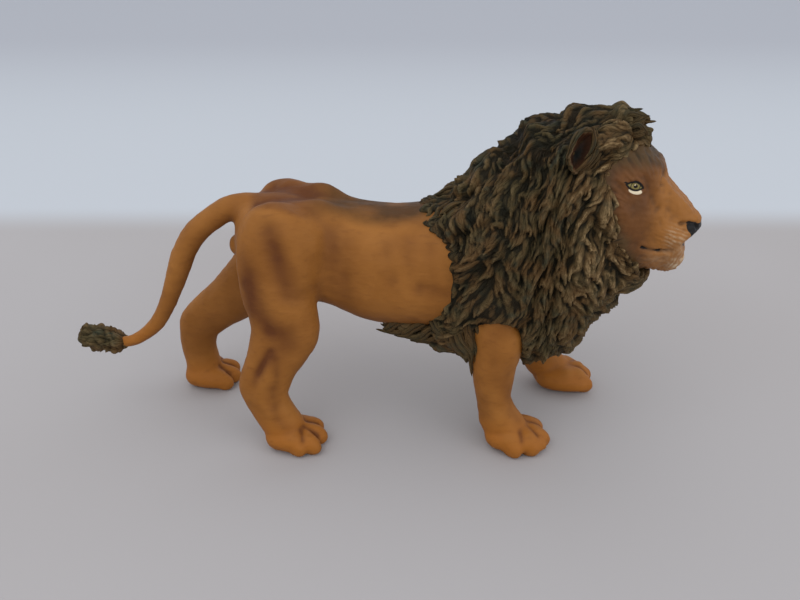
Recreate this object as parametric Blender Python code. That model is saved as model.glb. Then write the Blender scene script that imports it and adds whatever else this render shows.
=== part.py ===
"""Toy wild animal figure: a walking male lion, built as separate moulded pieces.

Metres, +Z up. The figure faces +X and stands on z = 0, with the origin under the middle of its box.
Every form is a loft: rings of points, read from a short table of shares of the named sizes below,
joined by smooth curves in both directions.
"""
import math

import bmesh
import bpy
import numpy as np

# Overall sizes
BODY_LENGTH = 0.100
BACK_HEIGHT = 0.058
TRUNK_HALF_WIDTH = 0.013
STANCE_HALF_WIDTH = 0.0133

# Legs and paws
HIND_LEG_HALF_DEPTH = 0.0095
HIND_LEG_HALF_WIDTH = 0.0058
FORE_LEG_HALF_DEPTH = 0.0066
FORE_LEG_HALF_WIDTH = 0.0044
HIND_PAW_LENGTH = 0.0140
FORE_PAW_LENGTH = 0.0158
PAW_HEIGHT = 0.0068
HIND_PAW_HALF_WIDTH = 0.0058
FORE_PAW_HALF_WIDTH = 0.0063
TOE_LENGTH = 0.0066
TOE_WIDTH = 0.0038
TOE_HEIGHT = 0.0050

# Tail and its tuft
TAIL_REACH = 0.0486
TAIL_DROP = 0.0380
TAIL_RADIUS = 0.0032
TUFT_RADIUS = 0.0031
DOCK_LENGTH = 0.0058
DOCK_WIDTH = 0.0050

# Mane, head and ears
MANE_LENGTH = 0.054
MANE_HEIGHT = 0.060
MANE_HALF_WIDTH = 0.0186
LOCK_HEIGHT = 0.0034
LOCK_LENGTH = 0.0142
LOCK_WIDTH = 0.0084
LEG_WINDOW_DEPTH = 0.0018
LEG_WINDOW_EDGE = 0.0022
HEAD_LENGTH = 0.030
HEAD_HEIGHT = 0.030
HEAD_HALF_WIDTH = 0.011
HEAD_TURN = math.radians(22)
EYE_RADIUS = 0.0017
EAR_RADIUS = 0.0040
EAR_DEPTH = 0.0032
EAR_WALL = 0.0009

# Plug joints and clearances
PEG_RADIUS = 0.0018
PEG_LENGTH = 0.0060
GAP = 0.0003
OVERRUN = 0.002

# Numbers of points and repeats
TRUNK_COUNTS = (28, 28)
LIMB_COUNTS = (17, 14)
PAW_COUNTS = (8, 14)
TOE_COUNTS = (6, 8)
TAIL_COUNTS = (24, 10)
TUFT_COUNTS = (12, 12)
HEAD_COUNTS = (22, 24)
MANE_COUNTS = (48, 80)
ELBOW_COUNTS = (8, 10)
BALL_COUNTS = (8, 12)
LOCKS_ALONG = 9
LOCKS_DOWN = 7
TUFT_LOCKS = 6

# Trunk rings: x of body length, top and bottom of back height, half width, squareness
TRUNK_SHARES = (
    (-0.308, 0.897, 0.776, 0.23, 2.2),
    (-0.3, 0.945, 0.716, 0.5, 2.2),
    (-0.284, 0.983, 0.662, 0.71, 2.3),
    (-0.25, 1.003, 0.621, 0.82, 2.5),
    (-0.2, 1.005, 0.603, 0.85, 2.6),
    (-0.15, 0.993, 0.59, 0.85, 2.6),
    (-0.1, 0.979, 0.566, 0.83, 2.5),
    (-0.05, 0.966, 0.517, 0.86, 2.4),
    (0, 0.955, 0.491, 0.94, 2.4),
    (0.05, 0.952, 0.483, 0.98, 2.4),
    (0.1, 0.955, 0.476, 1.02, 2.4),
    (0.16, 0.979, 0.472, 1.02, 2.4),
    (0.22, 1.003, 0.472, 0.98, 2.4),
    (0.28, 1.007, 0.49, 0.92, 2.3),
    (0.34, 1, 0.534, 0.8, 2.2),
    (0.4, 1.017, 0.621, 0.66, 2.1),
    (0.44, 1.043, 0.724, 0.54, 2),
    (0.46, 1.017, 0.776, 0.35, 2),
)

# Small swelling under the tail: x of body length, z of back height
DOCK_SHARES = (-0.288, 0.80)

# Leg rings from hip or shoulder down: x of body length, y of stance, z of back height,
# half depth and half width of the leg
RIGHT_HIND_SHARES = (
    (-0.164, -0.56, 0.983, 0.48, 0.45),
    (-0.174, -0.61, 0.941, 0.91, 0.83),
    (-0.194, -0.67, 0.836, 1.05, 0.97),
    (-0.204, -0.74, 0.69, 0.94, 1),
    (-0.195, -0.8, 0.586, 0.87, 0.93),
    (-0.199, -0.85, 0.517, 0.81, 0.83),
    (-0.214, -0.89, 0.448, 0.74, 0.74),
    (-0.236, -0.94, 0.362, 0.62, 0.66),
    (-0.253, -0.97, 0.272, 0.6, 0.59),
    (-0.247, -0.98, 0.207, 0.54, 0.57),
    (-0.229, -1, 0.138, 0.52, 0.66),
    (-0.212, -1, 0.079, 0.51, 0.76),
    (-0.206, -1, 0.034, 0.42, 0.72),
)
LEFT_HIND_SHARES = (
    (-0.155, 0.57, 0.986, 0.53, 0.48),
    (-0.165, 0.62, 0.941, 0.95, 0.86),
    (-0.193, 0.67, 0.841, 1.05, 0.97),
    (-0.225, 0.74, 0.733, 0.99, 1),
    (-0.263, 0.8, 0.626, 0.95, 0.93),
    (-0.312, 0.85, 0.541, 0.84, 0.86),
    (-0.366, 0.89, 0.466, 0.72, 0.78),
    (-0.42, 0.94, 0.393, 0.61, 0.69),
    (-0.466, 0.97, 0.314, 0.55, 0.62),
    (-0.479, 0.98, 0.221, 0.49, 0.6),
    (-0.476, 1, 0.138, 0.47, 0.66),
    (-0.472, 1, 0.079, 0.51, 0.76),
    (-0.47, 1, 0.034, 0.44, 0.72),
)
RIGHT_FORE_SHARES = (
    (0.286, -0.65, 0.741, 0.52, 0.36),
    (0.285, -0.72, 0.707, 0.91, 0.73),
    (0.283, -0.83, 0.655, 1, 1),
    (0.282, -0.90, 0.586, 0.98, 1.04),
    (0.280, -0.95, 0.474, 0.86, 1.02),
    (0.276, -0.96, 0.397, 0.79, 0.93),
    (0.275, -0.96, 0.328, 0.74, 0.89),
    (0.279, -0.98, 0.222, 0.62, 0.80),
    (0.294, -0.99, 0.141, 0.68, 0.86),
    (0.314, -1, 0.083, 0.73, 0.96),
    (0.324, -1, 0.034, 0.70, 0.96),
)
LEFT_FORE_SHARES = (
    (0.286, 0.65, 0.741, 0.52, 0.36),
    (0.286, 0.72, 0.707, 0.91, 0.73),
    (0.29, 0.83, 0.647, 1, 1),
    (0.302, 0.90, 0.56, 0.97, 1.04),
    (0.326, 0.94, 0.466, 0.88, 1),
    (0.356, 0.95, 0.367, 0.8, 0.93),
    (0.388, 0.97, 0.267, 0.74, 0.89),
    (0.422, 0.98, 0.179, 0.71, 0.86),
    (0.45, 0.99, 0.121, 0.71, 0.91),
    (0.474, 1, 0.079, 0.7, 0.98),
    (0.486, 1, 0.034, 0.61, 0.95),
)

# Paw rings from heel to toe: x of paw length, underside and top of paw height, half width;
# toes from the outer one in: x of paw length, y of half width
PAW_SHARES = (
    (0.01, 0.22, 0.74, 0.45),
    (0.10, 0.02, 0.94, 0.72),
    (0.30, -0.08, 1.03, 0.92),
    (0.55, -0.09, 0.97, 1),
    (0.75, -0.06, 0.79, 0.93),
    (0.90, 0.06, 0.53, 0.66),
)
PAW_HEEL_SHARE = 0.38
TOE_RISE_SHARE = 0.42
TOE_PLACE_SHARES = ((0.67, 0.77), (0.78, 0.27), (0.80, -0.27), (0.71, -0.76))

# Tail root: x of body length, z of back height; then tail and tuft rings from the root:
# x of reach, z of drop, radius
TAIL_ROOT_SHARES = (-0.24, 0.93)
TAIL_SHARES = (
    (0.07, -0.045, 0.812),
    (0, 0, 0.906),
    (-0.064, 0.042, 1),
    (-0.128, 0.037, 0.938),
    (-0.198, 0.005, 0.859),
    (-0.313, -0.1, 0.844),
    (-0.381, -0.203, 0.844),
    (-0.43, -0.332, 0.812),
    (-0.477, -0.476, 0.703),
    (-0.529, -0.613, 0.609),
    (-0.591, -0.734, 0.562),
    (-0.671, -0.829, 0.484),
    (-0.761, -0.879, 0.406),
    (-0.874, -0.861, 0.344),
)
TUFT_SHARES = (
    (-0.765, -0.879, 0.29),
    (-0.79, -0.884, 0.71),
    (-0.831, -0.879, 0.903),
    (-0.885, -0.853, 1),
    (-0.947, -0.834, 0.903),
    (-0.984, -0.824, 0.613),
    (-1, -0.818, 0.258),
)
TUFT_LOCK_SHARE = 0.12

# Mane rings from the hem forward to the face: five places (x of mane length from the withers,
# y of half width, z of mane height from the back) for crest, upper side, side, lower side, chest
WITHERS_SHARE = 0.28
MANE_SHARES = (
    ((-0.352, 0, -0.058), (-0.296, 0.457, -0.083), (-0.213, 0.645, -0.167), (-0.269, 0.581, -0.4),
     (-0.685, 0, -0.4)),
    ((-0.306, 0, -0.023), (-0.25, 0.484, -0.045), (-0.167, 0.774, -0.158), (-0.231, 0.667, -0.44),
     (-0.593, 0, -0.463)),
    ((-0.204, 0, 0.023), (-0.157, 0.538, -0.013), (-0.074, 0.871, -0.142), (-0.152, 0.737, -0.497),
     (-0.481, 0, -0.497)),
    ((-0.093, 0, 0.106), (-0.056, 0.559, 0.047), (0.019, 0.925, -0.117), (-0.081, 0.769, -0.547),
     (-0.315, 0, -0.522)),
    ((0.006, 0, 0.190), (0.037, 0.581, 0.117), (0.111, 0.968, -0.1), (0.056, 0.796, -0.533),
     (-0.13, 0, -0.557)),
    ((0.111, 0, 0.266), (0.13, 0.602, 0.18), (0.194, 0.989, -0.067), (0.193, 0.774, -0.533),
     (0.056, 0, -0.627)),
    ((0.237, 0, 0.307), (0.241, 0.613, 0.222), (0.278, 0.968, -0.05), (0.3, 0.72, -0.508),
     (0.241, 0, -0.658)),
    ((0.37, 0, 0.318), (0.343, 0.591, 0.233), (0.356, 0.882, -0.033), (0.389, 0.645, -0.442),
     (0.381, 0, -0.567)),
    ((0.481, 0, 0.313), (0.426, 0.538, 0.22), (0.43, 0.73, -0.022), (0.474, 0.548, -0.333),
     (0.478, 0, -0.425)),
    ((0.55, 0, 0.277), (0.458, 0.500, 0.193), (0.481, 0.608, -0.017), (0.57, 0.43, -0.237),
     (0.593, 0, -0.307)),
    ((0.556, 0, 0.22), (0.458, 0.410, 0.17), (0.474, 0.500, -0.017), (0.596, 0.350, -0.197),
     (0.62, 0, -0.24)),
    ((0.481, 0, 0.133), (0.426, 0.215, 0.1), (0.389, 0.215, -0.008), (0.463, 0.188, -0.133),
     (0.537, 0, -0.2)),
)

# How the hair lies, as turns from straight back to straight down: at the crest, on the side, then
# more toward the face and less toward the belly; x of mane length where the last two come in
CREST_LAY = math.radians(15)
SIDE_LAY = math.radians(78)
BEARD_LAY = math.radians(34)
BELLY_LAY = math.radians(-35)
BEARD_SHARES = (0.30, 0.56)
BELLY_SHARES = (-0.30, -0.65)
LOCK_WOBBLE_SHARE = 0.24
LOCK_BEND_SHARE = 0.35
LOCK_STAGGER_SHARE = 0.5
LOCK_SINK_SHARE = 0.3
LOCK_BLEND_SHARE = 0.1
# The mane lies in behind each foreleg below this height, of back height
LEG_WINDOW_SHARE = 0.605
# Tufts behind the elbows: x, y and z in the mane's shares, half depth and half width of lock width
ELBOW_SHARES = (
    (-0.176, 0.62, -0.417, 0.38, 0.17),
    (-0.148, 0.66, -0.490, 0.29, 0.17),
    (-0.137, 0.69, -0.530, 0.24, 0.15),
    (-0.115, 0.72, -0.590, 0.13, 0.10),
    (-0.106, 0.74, -0.632, 0.04, 0.03),
)

# Head rings from the neck to the nose: x of head length, then (y of half width, z of head height
# from the back) for crown, brow, eye, cheek, jaw and chin
NECK_SHARE = 0.40
HEAD_SHARES = (
    (0, (0, 0.267), (0.455, 0.233), (0.727, 0.067), (0.727, -0.200), (0.455, -0.417), (0, -0.500)),
    (0.200, (0, 0.433), (0.545, 0.387), (0.909, 0.167), (0.955, -0.133), (0.591, -0.417), (0, -0.520)),
    (0.367, (0, 0.487), (0.618, 0.433), (0.982, 0.217), (1, -0.100), (0.655, -0.407), (0, -0.513)),
    (0.500, (0, 0.473), (0.618, 0.410), (0.891, 0.210), (0.927, -0.100), (0.636, -0.393), (0, -0.493)),
    (0.617, (0, 0.430), (0.527, 0.373), (0.718, 0.193), (0.755, -0.107), (0.564, -0.367), (0, -0.467)),
    (0.710, (0, 0.367), (0.391, 0.310), (0.536, 0.140), (0.618, -0.117), (0.491, -0.340), (0, -0.447)),
    (0.780, (0, 0.230), (0.291, 0.200), (0.427, 0.060), (0.555, -0.133), (0.445, -0.333), (0, -0.450)),
    (0.853, (0, 0.137), (0.264, 0.110), (0.391, 0), (0.509, -0.147), (0.400, -0.320), (0, -0.433)),
    (0.917, (0, 0.073), (0.245, 0.047), (0.355, -0.040), (0.427, -0.160), (0.327, -0.300), (0, -0.380)),
    (0.967, (0, 0.023), (0.209, 0), (0.264, -0.067), (0.264, -0.153), (0.182, -0.213), (0, -0.247)),
    (1, (0, -0.023), (0.109, -0.033), (0.136, -0.067), (0.127, -0.100), (0.082, -0.123), (0, -0.133)),
)
# Eye and chin in the head's own shares, then the chin's half sizes
EYE_SHARES = (0.565, 0.66, 0.205)
CHIN_SHARES = (0.845, 0, -0.345)
CHIN_SIZE_SHARES = (0.105, 0.30, 0.105)
# Ear in the mane's shares; its cup looks forward, outward and a little up
EAR_SHARES = (0.344, 0.665, 0.205)
EAR_FACING = (0.72, 0.66, 0.20)

# The turn of the head: its pivot and the stretch over which it comes in, of body length
TURN_PIVOT_SHARE = 0.38
TURN_START_SHARE = 0.28
TURN_END_SHARE = 0.50

# Pegs: x of body length and z of back height for the hind and fore legs
HIND_PEG_SHARES = (-0.21, 0.76)
FORE_PEG_SHARES = (0.285, 0.60)

# Colours, roughness
FINISHES = {
    "coat": ((0.30, 0.125, 0.042), 0.62),
    "mane": ((0.022, 0.012, 0.007), 0.72),
    "face": ((0.17, 0.065, 0.030), 0.58),
    "ear": ((0.060, 0.028, 0.016), 0.70),
    "eye": ((0.33, 0.22, 0.045), 0.30),
}


def clear_scene():
    """Take every object away, so that a second run starts clean."""
    for thing in list(bpy.data.objects):
        bpy.data.objects.remove(thing, do_unlink=True)


def finish(kind):
    """The material of one finish, made once."""
    material = bpy.data.materials.get(kind)
    if material is None:
        colour, roughness = FINISHES[kind]
        material = bpy.data.materials.new(kind)
        material.use_nodes = True
        shader = material.node_tree.nodes["Principled BSDF"]
        shader.inputs["Base Color"].default_value = (*colour, 1)
        shader.inputs["Roughness"].default_value = roughness
        shader.inputs["Metallic"].default_value = 0
        material.diffuse_color = (*colour, 1)
    return material


def smooth_curve(rows, count):
    """Count points of the Catmull-Rom curve through the rows, even in row number."""
    rows = np.asarray(rows, float)
    first = 2 * rows[0] - rows[1]
    last = 2 * rows[-1] - rows[-2]
    return curve_points(np.concatenate([[first], rows, [last]]), np.linspace(0, len(rows) - 1, count))


def closed_curve(rows, count):
    """Count points of the closed Catmull-Rom curve through the rows."""
    rows = np.asarray(rows, float)
    around = np.concatenate([rows[-1:], rows, rows[:2]])
    return curve_points(around, np.arange(count) * len(rows) / count)


def curve_points(rows, places):
    """Catmull-Rom blend of four neighbouring rows at each place."""
    index = np.minimum(places.astype(int), len(rows) - 4)
    t = (places - index).reshape((-1,) + (1,) * (rows.ndim - 1))
    a, b, c, d = (rows[index + step] for step in range(4))
    return 0.5 * (2 * b + (c - a) * t + (2 * a - 5 * b + 4 * c - d) * t**2 + (3 * b - a - 3 * c + d) * t**3)


def circle(count):
    """Angles round one ring."""
    return np.arange(count) * 2 * math.pi / count


def smoothstep(value):
    value = np.clip(value, 0, 1)
    return value * value * (3 - 2 * value)


def turned(points):
    """Points swung toward the right about an upright line in the neck, more and more forward."""
    start = TURN_START_SHARE * BODY_LENGTH
    end = TURN_END_SHARE * BODY_LENGTH
    pivot = TURN_PIVOT_SHARE * BODY_LENGTH
    angle = HEAD_TURN * smoothstep((points[..., 0] - start) / (end - start))
    ahead = points[..., 0] - pivot
    x = pivot + ahead * np.cos(angle) + points[..., 1] * np.sin(angle)
    y = points[..., 1] * np.cos(angle) - ahead * np.sin(angle)
    return np.stack([x, y, points[..., 2]], axis=-1)


def solid_of_rings(name, rings, kind="coat"):
    """A closed solid whose skin joins ring to ring, with a fan of faces over each end."""
    along, around = rings.shape[:2]
    numbers = np.arange(along * around).reshape(along, around)
    near = numbers[:-1]
    far = numbers[1:]
    quads = np.stack([near, np.roll(near, -1, 1), np.roll(far, -1, 1), far], axis=-1).reshape(-1, 4)
    ends = []
    for ring, pole in ((numbers[0], along * around), (numbers[-1], along * around + 1)):
        ends += [(ring[i], ring[(i + 1) % around], pole) for i in range(around)]
    poles = [rings[0].mean(axis=0), rings[-1].mean(axis=0)]
    points = np.concatenate([rings.reshape(-1, 3), poles])
    mesh = bpy.data.meshes.new(name)
    mesh.from_pydata(points.tolist(), [], quads.tolist() + [[int(i) for i in face] for face in ends])
    built = bmesh.new()
    built.from_mesh(mesh)
    bmesh.ops.recalc_face_normals(built, faces=built.faces)
    if built.calc_volume(signed=True) < 0:
        bmesh.ops.reverse_faces(built, faces=built.faces)
    built.to_mesh(mesh)
    built.free()
    mesh.materials.append(finish(kind))
    thing = bpy.data.objects.new(name, mesh)
    bpy.context.scene.collection.objects.link(thing)
    return thing


def ball(name, centre, radii, kind="coat", axes=None, counts=BALL_COUNTS):
    """Rings of an ellipsoid about its first axis; its ends close on small caps."""
    centre = np.asarray(centre, float)
    axes = np.eye(3) if axes is None else axes
    cap = math.pi / (2 * counts[0])
    latitude = np.linspace(cap, math.pi - cap, counts[0])[:, None]
    angle = circle(counts[1])[None, :]
    local = np.stack([
        radii[0] * np.cos(latitude) + 0 * angle,
        radii[1] * np.sin(latitude) * np.cos(angle),
        radii[2] * np.sin(latitude) * np.sin(angle),
    ], axis=-1)
    return solid_of_rings(name, centre + local @ axes, kind)


def block(name, low, high):
    """A box between two corners, as four-point rings."""
    xs = np.array([low[0], high[0]])
    ring = [(low[1], low[2]), (high[1], low[2]), (high[1], high[2]), (low[1], high[2])]
    rings = np.array([[(x, y, z) for y, z in ring] for x in xs])
    return solid_of_rings(name, rings)


def swollen(thing, name):
    """A copy whose skin lies one clearance outside the first."""
    mesh = thing.data.copy()
    count = len(mesh.vertices)
    points = np.empty(count * 3)
    normals = np.empty(count * 3)
    mesh.vertices.foreach_get("co", points)
    mesh.vertices.foreach_get("normal", normals)
    mesh.vertices.foreach_set("co", points + GAP * normals)
    mesh.update()
    room = bpy.data.objects.new(name, mesh)
    room.hide_render = True
    room.display_type = "WIRE"
    bpy.context.scene.collection.objects.link(room)
    return room


def combine(thing, tool, operation, keep_tool=False):
    """Cut, join or cross the first solid with the second, exactly."""
    modifier = thing.modifiers.new(operation, "BOOLEAN")
    modifier.operation = operation
    modifier.solver = "EXACT"
    modifier.material_mode = "TRANSFER"
    modifier.object = tool
    graph = bpy.context.evaluated_depsgraph_get()
    mesh = bpy.data.meshes.new_from_object(thing.evaluated_get(graph))
    thing.modifiers.clear()
    thing.data = mesh
    if not keep_tool:
        bpy.data.objects.remove(tool, do_unlink=True)
    return thing


def welded(thing):
    """Merge the doubled corners that a cut leaves, and split its many-sided faces."""
    built = bmesh.new()
    built.from_mesh(thing.data)
    bmesh.ops.remove_doubles(built, verts=built.verts, dist=GAP / 100)
    bmesh.ops.dissolve_degenerate(built, edges=built.edges, dist=GAP / 100)
    bmesh.ops.triangulate(built, faces=[face for face in built.faces if len(face.verts) > 4])
    built.to_mesh(thing.data)
    built.free()
    return thing


def cut(thing, tool, keep_tool=True):
    return welded(combine(thing, tool, "DIFFERENCE", keep_tool))


def join(thing, tool):
    return combine(thing, tool, "UNION")


def main_body(thing):
    """Keep the largest body, walking from face to face over plain edges."""
    built = bmesh.new()
    built.from_mesh(thing.data)
    left = set(built.faces)
    bodies = []
    while left:
        seed = left.pop()
        body = [seed]
        queue = [seed]
        while queue:
            for edge in queue.pop().edges:
                if len(edge.link_faces) != 2:
                    continue
                for face in edge.link_faces:
                    if face in left:
                        left.remove(face)
                        body.append(face)
                        queue.append(face)
        bodies.append(body)
    bodies.sort(key=len)
    for body in bodies[:-1]:
        bmesh.ops.delete(built, geom=body, context="FACES")
    built.to_mesh(thing.data)
    built.free()
    return thing


def rounded(thing):
    """Shade smooth, but keep the cut edges sharp."""
    thing.data.shade_smooth()
    thing.data.set_sharp_from_angle(angle=math.radians(40))
    return thing


def trunk_solid():
    """Rump, loins, rib cage and neck stub: squared-off ovals along the back."""
    rows = smooth_curve(TRUNK_SHARES, TRUNK_COUNTS[0])
    angle = circle(TRUNK_COUNTS[1])[None, :]
    x, top, bottom, width, squareness = (rows[:, i, None] for i in range(5))
    wide = np.sign(np.cos(angle)) * np.abs(np.cos(angle)) ** (2 / squareness)
    tall = np.sign(np.sin(angle)) * np.abs(np.sin(angle)) ** (2 / squareness)
    rings = np.stack([
        x * BODY_LENGTH + 0 * angle,
        width * TRUNK_HALF_WIDTH * wide,
        BACK_HEIGHT * ((top + bottom) / 2 + (top - bottom) / 2 * tall),
    ], axis=-1)
    trunk = solid_of_rings("torso", rings)
    centre = (DOCK_SHARES[0] * BODY_LENGTH, 0, DOCK_SHARES[1] * BACK_HEIGHT)
    return join(trunk, ball("dock", centre, (DOCK_LENGTH / 2, DOCK_WIDTH / 2, DOCK_LENGTH / 2)))


def limb_rings(shares, half_depth, half_width, counts):
    """Ovals square to the line of the limb, which runs down through the listed centres."""
    rows = smooth_curve(shares, counts[0])
    centres = rows[:, :3] * (BODY_LENGTH, STANCE_HALF_WIDTH, BACK_HEIGHT)
    return tube_rings(centres, rows[:, 3] * half_depth, rows[:, 4] * half_width, counts[1])


def tube_rings(centres, half_depth, half_width, around):
    """Ovals along a path: deep in the path's own plane, wide across it."""
    tangent = np.gradient(centres, axis=0)
    tangent /= np.linalg.norm(tangent, axis=1, keepdims=True)
    across = np.array([0.0, 1.0, 0.0]) - tangent * tangent[:, 1:2]
    across /= np.linalg.norm(across, axis=1, keepdims=True)
    deep = np.cross(across, tangent)
    angle = circle(around)[None, :, None]
    return (centres[:, None]
            + deep[:, None] * half_depth[:, None, None] * np.cos(angle)
            + across[:, None] * half_width[:, None, None] * np.sin(angle))


def leg_solid(name, shares, half_depth, half_width, paw_length, paw_half_width):
    """Limb, paw and four toes in one, cut flat where the sole stands."""
    leg = solid_of_rings(name, limb_rings(shares, half_depth, half_width, LIMB_COUNTS))
    foot_x = shares[-1][0] * BODY_LENGTH
    foot_y = shares[-1][1] * STANCE_HALF_WIDTH
    heel_x = foot_x - PAW_HEEL_SHARE * paw_length
    rows = smooth_curve(PAW_SHARES, PAW_COUNTS[0])
    angle = circle(PAW_COUNTS[1])[None, :]
    along, underside, top, width = (rows[:, i, None] for i in range(4))
    rings = np.stack([
        heel_x + along * paw_length + 0 * angle,
        foot_y + width * paw_half_width * np.cos(angle),
        PAW_HEIGHT * ((top + underside) / 2 + (top - underside) / 2 * np.sin(angle)),
    ], axis=-1)
    join(leg, solid_of_rings("paw", rings))
    outer = paw_half_width * np.sign(foot_y)
    for along, aside in TOE_PLACE_SHARES:
        centre = (heel_x + along * paw_length, foot_y + aside * outer, TOE_RISE_SHARE * TOE_HEIGHT)
        toe = ball("toe", centre, (TOE_LENGTH / 2, TOE_WIDTH / 2, TOE_HEIGHT / 2), counts=TOE_COUNTS)
        join(leg, toe)
    reach = BODY_LENGTH
    ground = block("ground", (foot_x - reach, foot_y - reach, -reach), (foot_x + reach, foot_y + reach, 0))
    return cut(leg, ground, keep_tool=False)


def peg(name, place, side, inner, outer, radius):
    """A round pin across the figure at the named place, from inner to outer on one side."""
    x = place[0] * BODY_LENGTH
    z = place[1] * BACK_HEIGHT
    angle = circle(BALL_COUNTS[1])
    rings = np.array([
        np.stack([x + radius * np.cos(angle), 0 * angle + side * y, z + radius * np.sin(angle)], axis=-1)
        for y in (inner, outer)
    ])
    return solid_of_rings(name, rings)


def tail_line(shares):
    """Centres of the tail's rings in the middle plane of the figure."""
    rows = np.asarray(shares)
    root_x = TAIL_ROOT_SHARES[0] * BODY_LENGTH
    root_z = TAIL_ROOT_SHARES[1] * BACK_HEIGHT
    x = root_x + rows[:, 0] * TAIL_REACH
    z = root_z + rows[:, 1] * TAIL_DROP
    return np.stack([x, 0 * x, z], axis=-1)


def tail_solid():
    """A tapering round tube whose root is its own plug."""
    rows = np.column_stack([tail_line(TAIL_SHARES), np.asarray(TAIL_SHARES)[:, 2] * TAIL_RADIUS])
    rows = smooth_curve(rows, TAIL_COUNTS[0])
    return solid_of_rings("tail", tube_rings(rows[:, :3], rows[:, 3], rows[:, 3], TAIL_COUNTS[1]))


def tuft_solid():
    """The dark brush at the tail's end, ridged lengthwise."""
    rows = np.column_stack([tail_line(TUFT_SHARES), np.asarray(TUFT_SHARES)[:, 2] * TUFT_RADIUS])
    rows = smooth_curve(rows, TUFT_COUNTS[0])
    rings = tube_rings(rows[:, :3], rows[:, 3], rows[:, 3], TUFT_COUNTS[1])
    ridge = 1 + TUFT_LOCK_SHARE * np.cos(TUFT_LOCKS * circle(TUFT_COUNTS[1]))
    centres = rows[:, None, :3]
    return solid_of_rings("tail_tuft", centres + (rings - centres) * ridge[None, :, None], "mane")


def mirrored(column_points):
    """Points down the left side, then up the right side, of rings whose ends lie on the middle."""
    right = column_points[:, -2:0:-1] * (1, -1, 1)
    return np.concatenate([column_points, right], axis=1)


def net_rings(columns, counts):
    """A smooth net through rows of places, closed round and open along."""
    along = smooth_curve(mirrored(columns), counts[0])
    return np.swapaxes(closed_curve(np.swapaxes(along, 0, 1), counts[1]), 0, 1)


def mane_place(shares):
    scale = (MANE_LENGTH, MANE_HALF_WIDTH, MANE_HEIGHT)
    return np.asarray(shares) * scale + (WITHERS_SHARE * BODY_LENGTH, 0, BACK_HEIGHT)


def down_from_crest(rings):
    """Each point's distance down its ring from the crest, and the whole way to the chest."""
    step = np.linalg.norm(np.roll(rings, -1, 1) - rings, axis=2)
    left = np.cumsum(step, axis=1) - step
    whole = step.sum(axis=1, keepdims=True)
    return np.minimum(left, whole - left), whole / 2


def hair_lay(x, share_down):
    """The hair's turn from straight back toward straight down at x and a share of the way down."""
    lay = CREST_LAY + (SIDE_LAY - CREST_LAY) * smoothstep(share_down / 0.42)
    ahead = (x - WITHERS_SHARE * BODY_LENGTH) / MANE_LENGTH
    for turn, (start, end) in ((BEARD_LAY, BEARD_SHARES), (BELLY_LAY, BELLY_SHARES)):
        lay = lay + turn * smoothstep((ahead - start) / (end - start)) * smoothstep(share_down / 0.35)
    return lay


def softened(heights):
    """Each height averaged with its neighbours along the ring and along the body."""
    ends = np.concatenate([heights[:1], heights, heights[-1:]])
    beside = np.roll(heights, 1, 1) + np.roll(heights, -1, 1) + ends[:-2] + ends[2:]
    return heights + LOCK_BLEND_SHARE * (beside - 4 * heights)


def lock_relief(rings):
    """Heights, from 0 to 1, of hair locks that overlap like shingles on both sides alike.

    Their places are a staggered grid over x and the distance down from the crest. Each lock is a
    leaf along the hair: it swells toward its tip, where it ends in a step.
    """
    x = rings[..., 0]
    down, whole = down_from_crest(rings)
    pitch = (x.max() - x.min()) / LOCKS_ALONG
    drop = whole.max() / LOCKS_DOWN
    relief = np.zeros(x.shape)
    for tier in range(LOCKS_DOWN + 1):
        for number in range(LOCKS_ALONG + 1):
            phase = 2.4 * tier + 1.7 * number
            step = number + LOCK_STAGGER_SHARE * (tier % 2) + LOCK_WOBBLE_SHARE * math.sin(phase)
            place_x = x.min() + pitch * step
            place_down = drop * (tier + LOCK_WOBBLE_SHARE * math.sin(2 * phase + 1))
            lay = hair_lay(place_x, place_down / whole.max())
            ahead = -(x - place_x) * math.cos(lay) + (down - place_down) * math.sin(lay)
            aside = (x - place_x) * math.sin(lay) + (down - place_down) * math.cos(lay)
            t = np.clip(ahead / LOCK_LENGTH + 0.5, 0, 1)
            aside = aside + LOCK_BEND_SHARE * math.sin(3 * phase) * LOCK_WIDTH * (2 * t - 1) ** 2
            width = LOCK_WIDTH / 2 * (0.5 + 0.5 * np.sin(np.pi * np.minimum(1.2 * t, 1))) * np.sqrt(1 - t**4)
            inside = np.clip(1 - (aside / np.maximum(width, GAP)) ** 2, 0, 1)
            rise = (0.25 + 0.75 * t) * np.clip(5 * (1 - t), 0, 1) * (t > 0)
            relief = np.maximum(relief, rise * inside**0.8)
    return softened(relief)


def leg_window(rings):
    """1 where a foreleg comes out of the hair and 0 elsewhere, with a soft edge."""
    x, y, z = np.moveaxis(rings, -1, 0)
    window = np.zeros(x.shape)
    for side, shares in ((-1, RIGHT_FORE_SHARES), (1, LEFT_FORE_SHARES)):
        rows = np.array(shares)[::-1]
        centre = np.interp(z / BACK_HEIGHT, rows[:, 2], rows[:, 0]) * BODY_LENGTH
        reach = np.interp(z / BACK_HEIGHT, rows[:, 2], rows[:, 3]) * FORE_LEG_HALF_DEPTH
        inside = smoothstep((reach - np.abs(x - centre)) / LEG_WINDOW_EDGE + 0.5)
        window += inside * (side * y > STANCE_HALF_WIDTH / 2)
    return window * smoothstep((LEG_WINDOW_SHARE * BACK_HEIGHT - z) / LEG_WINDOW_EDGE + 0.5)


def elbow_tuft(side):
    """A pointed tuft of hair that hangs behind the elbow."""
    rows = smooth_curve(ELBOW_SHARES, ELBOW_COUNTS[0])
    centres = mane_place(rows[:, :3]) * (1, side, 1)
    return solid_of_rings("tuft", tube_rings(centres, *(rows[:, 3:].T * LOCK_WIDTH), ELBOW_COUNTS[1]), "mane")


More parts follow.
